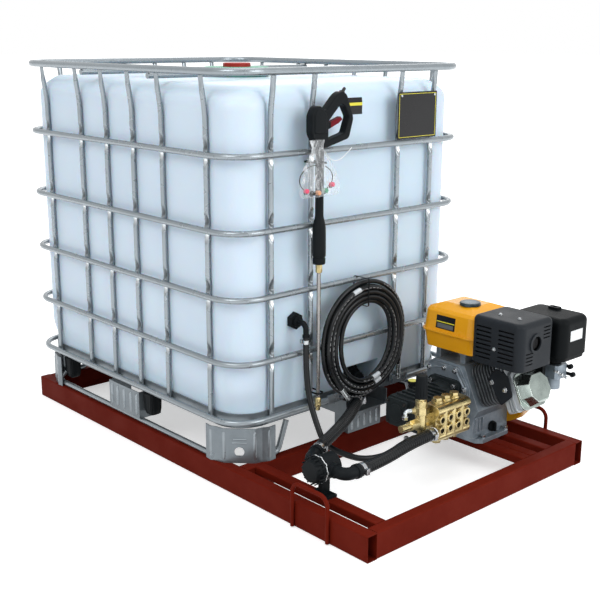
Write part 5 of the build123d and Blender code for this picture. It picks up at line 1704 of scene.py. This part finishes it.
@dataclass
class Gun(Assembly):
    """Trigger gun and lance with their moulded and turned details."""

    x: float = LANCE_X
    y: float = -0.195
    thick: float = 0.030
    edge: float = 0.0045
    head_thick: float = 0.038
    head_edge: float = 0.005
    slot_half: float = 0.0076
    slot_low: Pair = (-0.200, 1.042)
    slot_high: Pair = (-0.166, 1.092)
    # Outlines of the shell and its head in millimetres
    outside: Pairs = (
        (-237, 1050), (-237, 1102), (-222, 1127), (-202, 1128), (-186, 1112), (-139, 1158),
        (-120, 1167), (-101, 1158), (-72, 1088), (-90, 1030), (-184, 1007), (-214, 1010),
    )
    window: Pairs = (
        (-173, 1030), (-173, 1083), (-124, 1130), (-109, 1124), (-90, 1092), (-107, 1047),
    )
    head: Pairs = (
        (-230, 1050), (-230, 1103), (-219, 1121), (-203, 1121), (-182, 1104), (-182, 1050),
    )
    # Inlet nut and stem in metres
    inlet_way: Point = (0.0, 16.0, 20.0)
    nut_at: Pair = (-0.1180, 1.1490)
    nut: Pairs = ((0.0, 0.0080), (0.004, 0.0095), (0.018, 0.0095), (0.0195, 0.008))
    stem_at: Pair = (-0.1070, 1.1628)
    stem: Pairs = ((0.0, 0.0050), (0.012, 0.0050), (0.012, 0.0040), (0.015, 0.0040))

    def slotted(self, piece: Object) -> None:
        """Cut the slot in which the root of the trigger turns.

        Args:
            piece: Piece of the gun that gets the slot.
        """
        block = Shape()
        block.block((self.x - self.slot_half, *self.slot_low), (self.x + self.slot_half, *self.slot_high))
        cutter = block.done("trigger_slot", None)
        cut = piece.modifiers.new("slot", "BOOLEAN")
        cut.operation = "DIFFERENCE"
        cut.object = cutter
        bpy.context.view_layer.update()
        piece.data = plain_mesh(piece)
        piece.modifiers.clear()
        bpy.data.objects.remove(cutter)

    @staticmethod
    def outline(corners: Pairs, radius: float) -> list[Pair]:
        """Rounded outline from corners in millimetres."""
        return rounded([(y / 1000, z / 1000) for y, z in corners], radius)

    def shell(self) -> None:
        """Gun body with its guard, thicker head, trigger slot and inlet nut."""
        loops = [self.outline(self.outside, 0.010), self.outline(self.window, 0.006)]
        body = facing_front(flat_form(loops, self.thick, self.edge), "gun_shell", self.x)
        self.slotted(body)
        self.dressed(body, Paint.PLASTIC, "black_plastic")
        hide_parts("gun_body")
        head = flat_form([self.outline(self.head, 0.008)], self.head_thick, self.head_edge)
        cheek = facing_front(head, "gun_head", self.x)
        self.slotted(cheek)
        self.dressed(cheek, Paint.PLASTIC, "black_plastic")
        nut = Shape()
        nut.lathe((self.x, *self.nut_at), Vector(self.inlet_way), self.nut, 6)
        nut.lathe((self.x, *self.stem_at), Vector(self.inlet_way), self.stem, 20)
        self.dressed(nut.done("gun_inlet_nut", 30.0, 0.0006), Paint.DARK_STEEL, "steel")

    def turned(self, name: str, profile: list[Pair], paint: Paint, slot: str, sides: int = 36) -> Object:
        """Turned piece on the lance's axis.

        Args:
            name: Name of the piece.
            profile: Pairs of height and radius, in millimetres.
            paint: Its finish.
            slot: Not used.
            sides: Points around it.

        Returns:
            The piece.
        """
        shape = Shape()
        metres = [(z / 1000, r / 1000) for z, r in profile]
        shape.lathe((self.x, self.y, 0.0), UP, metres, sides)
        return self.dressed(shape.done(name, 38.0), paint, slot)

    def lance(self) -> None:
        """Grip, coupling, tube and nozzle holder."""
        grip = [(666, 14.0), (667, 17.5), (670, 19.2), (684, 19.6), (685.5, 18.9), (686, 17.4), (689, 17.4),
                (689.5, 19.2), (692, 20.3), (715, 20.5), (760, 20.1), (778, 19.4), (786, 18.2), (806, 13.4),
                (812, 12.5), (1009, 12.5)]
        first = self.turned("lance_grip", grip, Paint.PLASTIC, "black_plastic")
        coupling = [(640, 8.0), (641, 9.4), (646, 10.2), (664, 10.2), (666, 9.6)]
        self.turned("lance_coupling", coupling, Paint.BRASS, "brass", 6)
        self.turned("lance_tube", [(250, 5.8), (251, 6.0), (640, 6.0)], Paint.LANCE, "steel", 28)
        holder = [(208, 6.2), (209, 7.4), (219, 7.4), (220, 9.6), (222, 10.0), (229, 10.0), (230, 8.8),
                  (233, 8.8), (234, 10.0), (246, 10.0), (248, 8.6), (250, 7.2)]
        self.turned("lance_nozzle_holder", holder, Paint.BRASS, "brass")
        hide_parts("lance")

    def build(self) -> None:
        """Make the gun and the lance."""
        self.shell()
        self.lance()


@dataclass
class NozzleBag(Assembly):
    """Clear bag tied to the lance's neck, with the spray nozzles on their wire ring."""

    x: float = LANCE_X + 0.0142 + 0.017
    y: float = -0.222
    bottom: float = 0.872
    height: float = 0.163
    half_depth: float = 0.016
    full_half: float = 0.083
    points: int = 72
    folds: int = 11
    fold_swirl: float = 18.75
    fold_least: float = 0.05
    fold_more: float = 0.16
    fold_share: float = 0.3
    slack: float = 0.97
    lean: float = 0.012
    lean_bend: float = 1.2
    levels: tuple[Point, ...] = (
        (0.000, 0.066, 0.10), (0.004, 0.076, 0.45), (0.014, 0.081, 0.85), (0.034, 0.081, 1.0),
        (0.058, 0.075, 0.95), (0.080, 0.063, 0.80), (0.100, 0.047, 0.62), (0.118, 0.032, 0.48),
        (0.132, 0.023, 0.38), (0.142, 0.020, 0.36), (0.150, 0.022, 0.40), (0.158, 0.025, 0.45),
        (0.163, 0.027, 0.48),
    )
    ring_y: float = -0.237
    ring_width: float = 0.064
    ring_height: float = 0.040
    ring_rise: float = 0.013
    wire: float = 0.0014
    nozzle_back: float = 0.001
    nozzle_row: tuple[tuple[float, Paint], ...] = (
        (-0.041, Paint.PINK), (-0.018, Paint.DARK_STEEL), (0.003, Paint.ORANGE), (0.030, Paint.GREEN),
        (0.055, Paint.PINK),
    )
    tip: Pairs = ((0, 0.0050), (0.001, 0.0056), (0.006, 0.0056), (0.007, 0.0044), (0.010, 0.0044))
    tip_fan: float = 0.08
    collar: Pairs = ((0, 0.0066), (0.001, 0.0074), (0.012, 0.0074), (0.0138, 0.0060))
    collar_fan: float = 0.12
    tail_out: float = 0.004
    tail_at: Pair = (-0.205, 1.000)
    tail_reach: Pair = (0.105, 0.006)
    tail_sag: float = 0.030
    tail_bend: float = 0.8
    tail_steps: int = 24
    tail_radius: float = 0.0013

    def ring(self, rise: float, half: float, fill: float) -> list[Vector]:
        """One level of the bag with its folds.

        Args:
            rise: Height above the bag's bottom.
            half: Half of its width there.
            fill: How full it is there, from 0 to 1.

        Returns:
            The ring's points.
        """
        gather = 1.0 - half / self.full_half
        deep = self.fold_least + self.fold_more * gather
        share = self.fold_share + (1.0 - self.fold_share) * gather
        middle = self.y - self.lean * (rise / self.height) ** self.lean_bend
        found = []
        for angle in ring_angles(self.points):
            fold = 1.0 + deep * math.sin(self.folds * angle + self.fold_swirl * rise) * share
            depth = self.half_depth * fill * math.sin(angle) * min(fold, 1.0)
            across = half * math.cos(angle) * fold * self.slack
            found.append(Vector((self.x + depth, middle + across, self.bottom + rise)))
        return found

    def film(self) -> None:
        """Bag shell that hangs full at the bottom and is gathered at its neck."""
        shape = Shape()
        shape.ring_loft([self.ring(*level) for level in self.levels])
        piece = finished(shape.done("nozzle_bag_film", 80.0), self.palette.film())
        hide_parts("nozzle_bag")

    def nozzles(self) -> None:
        """Coloured nozzles on the bag's floor, threaded on a wire ring."""
        middle = self.bottom + self.ring_rise + self.ring_height
        ring = Shape()
        rows = []
        for a in ring_angles(self.points):
            out = Vector((0.0, math.cos(a), math.sin(a)))
            y = self.ring_y + self.ring_width * math.cos(a)
            centre = Vector((self.x, y, middle + self.ring_height * math.sin(a)))
            rows.append(circle(centre, out, AHEAD, self.wire, 10))
        ring.ring_loft(rows + rows[:1], caps=False)
        bmesh.ops.remove_doubles(ring.mesh, verts=ring.mesh.verts, dist=1e-6)
        wire = self.dressed(ring.done("nozzle_wire", 60.0), Paint.DARK_STEEL, "steel")
        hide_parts("nozzle_set")
        for k, (across, paint) in enumerate(self.nozzle_row):
            low = math.sqrt(1.0 - (across / self.ring_width) ** 2)
            spot = (self.x - self.nozzle_back, self.ring_y + across, middle - self.ring_height * low)
            from_middle = k - len(self.nozzle_row) // 2
            tip = Shape()
            tip.lathe(spot, Vector((0.25, self.tip_fan * from_middle, -1.0)), self.tip, 24)
            self.dressed(tip.done(f"nozzle_tip_{k + 1}", 35.0), Paint.DARK_STEEL, "nozzle_mix")
            collar = Shape()
            collar.lathe(spot, Vector((1.0, self.collar_fan * from_middle, 0.10)), self.collar, 6)
            self.dressed(collar.done(f"nozzle_collar_{k + 1}", 35.0, 0.0005), paint, "nozzle_mix")

    def tie_tail(self) -> None:
        """Loose tail of the white plastic tie around the bag's neck."""
        shape = Shape()
        rows = []
        (y, z), (along, rise) = self.tail_at, self.tail_reach
        for k in range(self.tail_steps + 1):
            t = k / self.tail_steps
            height = z - self.tail_sag * math.sin(math.pi * t**self.tail_bend) + rise * t
            spot = Vector((self.x + self.tail_out, y + along * t, height))
            rows.append(circle(spot, AHEAD, UP, self.tail_radius, 8))
        shape.ring_loft(rows)
        self.dressed(shape.done("bag_tie_tail", 60.0), Paint.WHITE, "bag_clear")

    def build(self) -> None:
        """Make the bag and what is in it."""
        self.nozzles()
        self.film()
        self.tie_tail()


@dataclass
class Plates(Assembly):
    """Bare sign on the cage and plain labels on the tanks and the engine."""

    sign_x: float = FRONT + 0.0022
    sign_low: Pair = (0.152, 1.0075)
    sign_high: Pair = (0.332, 1.152)
    border_in: float = 0.005
    border_wide: float = 0.0016
    border_out: float = 0.0011
    fixing_places: Pair = (0.1685, 0.3215)
    fixing_z: float = 1.141
    fixing_out: float = 0.001
    fixing: Pairs = ((0, 0.0040), (0.0009, 0.0038), (0.0016, 0.0022))
    label_gap: float = 0.0001
    label_thick: float = 0.0005
    # Fuel tank's near side and the bottle's shoulder in millimetres, the lean in degrees
    tank_side: Pair = (185.0, 420.0)
    tank_lean: float = 6.0
    bottle_top: float = 1186.0
    bottle_inset: float = 42.0
    shoulder: float = 65.0
    bottle_steps: int = 8
    bottle_section: Pairs = ((0, -34), (0, 39), (0.5, 39), (0.5, -34))

    def frame(self, margin: float) -> list[Pair]:
        """Corners of the sign, drawn in by a margin."""
        low = [v + margin for v in self.sign_low]
        return rectangle(low, [v - margin for v in self.sign_high])

    def sign(self) -> None:
        """Bare black sign with a thin plain border, fixed at its top corners."""
        plate = flat_form([rounded(self.frame(0.0), 0.003)], 0.002, 0.0004, 2)
        piece = facing_front(plate, "sign_plate", self.sign_x, 40.0)
        self.dressed(piece, Paint.BLACK_SIGN, "black_plastic")
        loops = [self.frame(self.border_in), self.frame(self.border_in + self.border_wide)]
        line = flat_form(loops, 0.0004, 0.00005, 1)
        border = facing_front(line, "sign_border", self.sign_x + self.border_out, None)
        self.dressed(border, Paint.SIGN_YELLOW, "tank_yellow")
        ties = Shape()
        for y in self.fixing_places:
            ties.lathe((self.sign_x + self.fixing_out, y, self.fixing_z), AHEAD, self.fixing, 20)
        self.dressed(ties.done("sign_fixings", 40.0), Paint.STEEL, "steel")

    def label(self, name: str, corners: list[Point], out: Vector, paint: Paint, slot: str) -> None:
        """Thin bare label.

        Args:
            name: Name of the piece.
            corners: Corners on the surface.
            out: Outward direction.
            paint: Its finish.
            slot: Not used.
        """
        shape = Shape()
        shape.slab([Vector(c) + out * self.label_gap for c in corners], out * self.label_thick)
        self.dressed(shape.done(name, None), paint, slot)

    def tank_labels(self) -> None:
        """Bare dark label with a plain stripe on the fuel tank, and a bare white one on the air cleaner."""
        lean = math.tan(math.radians(self.tank_lean))
        out = Vector((0.0, -1.0, lean)).normalized()
        y, foot = self.tank_side
        over = 0.0006
        for name, low, high, lift, paint, slot in (
            ("tank_label", (157, 429), (232, 471), 0.0, Paint.BLACK_SIGN, "black_plastic"),
            ("tank_label_stripe", (159, 449.5), (230, 452.5), over, Paint.SIGN_YELLOW, "tank_yellow"),
            ("tank_label_field", (163, 432), (226, 446), over, Paint.GREY_LABEL, "black_plastic"),
        ):
            spots = [from_front(x, y + (z - foot) * lean, z) for x, z in rectangle(low, high)]
            self.label(name, [Vector(spot) + out * lift for spot in spots], out, paint, slot)
        white = [from_front(523, y, z) for y, z in rectangle((380, 424), (443, 457))]
        self.label("cleaner_label", white, AHEAD, Paint.WHITE, "tank_plastic")

    def bottle_label(self) -> None:
        """Bare black label with a plain band on the front of the tank, curved over its shoulder."""
        for name, low, high, lift, paint, slot in (
            ("bottle_label", 1090.0, 1140.0, 0.1, Paint.BLACK_SIGN, "black_plastic"),
            ("bottle_label_band", 1116.0, 1125.0, 0.7, Paint.SIGN_YELLOW, "tank_yellow"),
        ):
            shape = Shape()
            rows = []
            for k in range(self.bottle_steps + 1):
                z = low + (high - low) * k / self.bottle_steps
                over = max(0.0, z - (self.bottle_top - self.shoulder))
                x = lift - self.bottle_inset - self.shoulder + math.sqrt(self.shoulder**2 - over**2)
                rows.append([Vector(from_front(x + t, y, z)) for t, y in self.bottle_section])
            shape.ring_loft(rows)
            self.dressed(shape.done(name, 30.0), paint, slot)

    def build(self) -> None:
        """Make every plate."""
        self.sign()
        self.tank_labels()
        self.bottle_label()


@dataclass
class Bolts(Assembly):
    """Bolt and screw heads of the engine and the pump, the air guide plate and the inlet ring."""

    forms: NodeForms
    # Places in millimetres: along and beside the bore, from the front face, and from the shaft
    guide: Pairs = ((172, 20), (187, -72), (243, -52), (250, 10), (212, 44))
    inlet: Point = (341, -26.9, 181)
    case: Pairs = ((-68, 82), (-8, 92), (36, 92), (76, 38), (78, -26), (76, -84), (-68, -84), (-74, 2))
    # Sizes in metres
    guide_y: float = 0.2206
    inlet_section: Pairs = ((0, 0.0145), (0, 0.019), (0.0035, 0.019), (0.0035, 0.0145), (0, 0.0145))

    def add(self, name: str, spots: list[tuple[Point, Point]], head: float, height: float, washer: float,
            paint: Paint = Paint.STEEL) -> None:
        """One set of bolts of one size.

        Args:
            name: Name of the piece.
            spots: Pairs of place and direction.
            head: Size across the flats.
            height: Height of the head.
            washer: Diameter of the washer.
            paint: Finish.
        """
        material = self.palette.of(paint)
        values = {"Head": head, "Height": height, "Washer": washer, "Material": material}
        piece = self.forms.run(bolt_points(spots), self.forms.bolts, values, name)
        finished(piece, material)

    def air_guide(self) -> None:
        """Pressed plate that leads the cooling air over the near side of the cylinder."""
        corners = []
        for s, d in self.guide:
            along = s * math.cos(BORE_TILT) - d * math.sin(BORE_TILT)
            rise = s * math.sin(BORE_TILT) + d * math.cos(BORE_TILT)
            x, _, z = from_front(SHAFT_X + along, 0, SHAFT_Z + rise)
            corners.append((x, z))
        mesh = flat_form([rounded(corners, 0.010)], 0.0024, 0.0008, 2)
        mesh.transform(Matrix(((1, 0, 0, 0), (0, 0, 1, self.guide_y), (0, 1, 0, 0), (0, 0, 0, 1))))
        mesh.flip_normals()
        self.dressed(placed("air_guide_plate", mesh, 40.0), Paint.CHARCOAL, "cover_charcoal")

    def inlet_ring(self) -> None:
        """White sealing ring where the second suction hose meets the pump."""
        shape = Shape()
        shape.lathe(from_front(*self.inlet), ACROSS, self.inlet_section, 36, False)
        bmesh.ops.remove_doubles(shape.mesh, verts=shape.mesh.verts, dist=1e-6)
        self.dressed(shape.done("pump_inlet_ring", 40.0), Paint.WHITE, "tank_plastic")

    def build(self) -> None:
        """Make every set."""
        self.air_guide()
        self.inlet_ring()
        near = Vector((0.0, -1.0, 0.0))
        cover = [(from_front(x, 214, 511), UP) for x in (383, 453)] + [(from_front(409, 156, 421), near)]
        self.add("cover_screws", cover, 0.009, 0.003, 0.012)
        case = [(from_front(SHAFT_X + u, 194, SHAFT_Z + w), near) for u, w in self.case]
        self.add("crankcase_bolts", case, 0.011, 0.006, 0.016)
        guide = [(from_front(360, 219.4, 290), near), (from_front(411, 219.4, 278), near)]
        self.add("air_guide_bolts", guide, 0.011, 0.006, 0.016)
        end = [(from_front(SHAFT_X + u, -34, SHAFT_Z + w), near) for u in (-33, 33) for w in (-33, 33)]
        self.add("pump_cover_bolts", end, 0.008, 0.005, 0.011, Paint.DARK_STEEL)
        side = [(from_front(x, -24, z), near) for x in (168, 276) for z in (176, 242)]
        self.add("pump_case_bolts", side, 0.007, 0.004, 0.010, Paint.DARK_STEEL)


class Dressing:
    """Finishes of the CAD nodes that stay in view."""

    HEAD_FROM = 0.2035
    """Where the cylinder's head starts along the bore, in metres from the shaft."""

    NO_END = 5.0
    """Place past the whole machine, in metres."""

    CAP_FADE = (0.0168, 0.024)
    # Distances between which the painted reflection in the middle of the fuel cap fades into its rim, in
    # metres.
    """Distances between which the middle of the fuel cap fades into its rim, in metres."""

    # Lighter bluish middle of the fuel cap: a painted reflection.
    CAP_PAINTED_REFLECTION = (0.085, 0.135, 0.165)
    PLUG_DARK = (0.022, 0.021, 0.020)
    TRIGGER_RED = (0.155, 0.010, 0.016)
    OIL_YELLOW = (0.74, 0.70, 0.16)
    SEAL_WHITE = (0.80, 0.82, 0.83)
    HEAD_BRIGHT = (0.40, 0.43, 0.45)
    # Second colours of the nodes that have two; the fuel cap's is a painted reflection.
    """Second colours of the nodes that have two."""

    TABLE = {
        Paint.OXIDE: ("side_rails", "cross_rails", "lifting_loops"),
        Paint.ZINC_SHEET: ("pallet_tray", "pallet_legs"),
        Paint.ZINC_DIP: ("pallet_runners", "cage_hoops", "cage_base_rail", "cage_top_rail"),
        Paint.BOTTLE: ("tote_bottle",),
        Paint.LID: ("tote_lid",),
        Paint.VENT: ("vent_cap",),
        Paint.PLASTIC: ("valve_body", "valve_lever", "pipe_elbows", "choke_lever", "fuel_lever",
                        "throttle_lever", "starter_grip", "stop_switch", "oil_dipstick", "unloader_knob",
                        "filter_head", "bypass_fitting", "cable_ties"),
        Paint.CLEANER: ("air_cleaner_base", "air_cleaner_cover"),
        Paint.ALLOY: ("engine_crankcase", "carburettor"),
        Paint.ROCKER: ("rocker_cover",),
        Paint.ZINC: ("relief_elbow", "hose_ferrules"),
        Paint.YELLOW: ("fuel_tank", "fan_shroud"),
        Paint.IRON: ("muffler", "flywheel"),
        Paint.CHARCOAL: ("muffler_cover", "starter_cover"),
        Paint.PUMP: ("pump_crankcase", "pump_end_cover"),
        Paint.BRASS: ("pump_head", "unloader_body"),
        Paint.STEEL: ("hose_clamps", "fasteners"),
    }

    def __init__(self, palette: Palette, nodes: dict[str, Object]) -> None:
        """Keep the palette and the CAD nodes."""
        self.palette = palette
        self.nodes = nodes

    def dress(self, node: str, material: Material) -> None:
        """Give one CAD node its material.

        Args:
            node: Name of the node.
            material: The material.
        """
        for slot in self.nodes[node].material_slots:
            slot.material = material
        log.info("%s: %s", node, material.name)

    def build(self) -> None:
        """Dress every node."""
        for paint, names in self.TABLE.items():
            for name in names:
                self.dress(name, self.palette.of(paint))
        bore = Vector((math.cos(BORE_TILT), 0.0, math.sin(BORE_TILT)))
        head = Vector(from_front(SHAFT_X, 0, SHAFT_Z)).dot(bore) + self.HEAD_FROM
        bands = {
            "pump_head_plugs": (Paint.BRASS, self.PLUG_DARK, AHEAD, (FRONT + 0.335, self.NO_END)),
            "gun_trigger": (Paint.PLASTIC, self.TRIGGER_RED, ACROSS, (-0.158, -0.100)),
            "pump_oil_cap": (Paint.PLASTIC, self.OIL_YELLOW, UP, (0.2785, 0.300)),
            "filter_bowl": (Paint.PLASTIC, self.SEAL_WHITE, ACROSS, (-0.4228, -0.4196)),
            "cylinder": (Paint.FINS, self.HEAD_BRIGHT, bore, (head, self.NO_END)),
        }
        for node, (base, colour, way, limits) in bands.items():
            tint = (colour, partial(Bench.between, way=way, limits=limits))
            self.dress(node, self.palette.tinted(f"{node}_finish", base, tint))
        # The lighter bluish middle of the fuel cap is a painted reflection.
        middle = from_front(231, 260, 514)
        tint = (self.CAP_PAINTED_REFLECTION, partial(Bench.near, middle=middle, limits=self.CAP_FADE))
        self.dress("fuel_cap", self.palette.tinted("fuel_cap_painted_reflection", Paint.CAP, tint))


def main() -> None:
    """Build the whole scene and report each piece."""
    logging.basicConfig(level=logging.INFO, format="%(message)s")
    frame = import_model()
    nodes = frame["nodes"]
    Studio().build()
    effects = Effects()
    palette = Palette(effects)
    forms = NodeForms()
    Hoses(palette, forms).build()
    PressureHose(palette, forms).build(nodes["hose_ferrules"])
    Dressing(palette, nodes).build()
    cage = Cage(palette)
    cage.build()
    BottleWall(palette, cage).build()
    Spacers(palette).build()
    LegRibs(palette, cage).build()
    SmallParts(palette).build()
    Gun(palette).build()
    NozzleBag(palette).build()
    Plates(palette).build()
    Bolts(palette, forms).build()


if __name__ == "__main__":
    main()
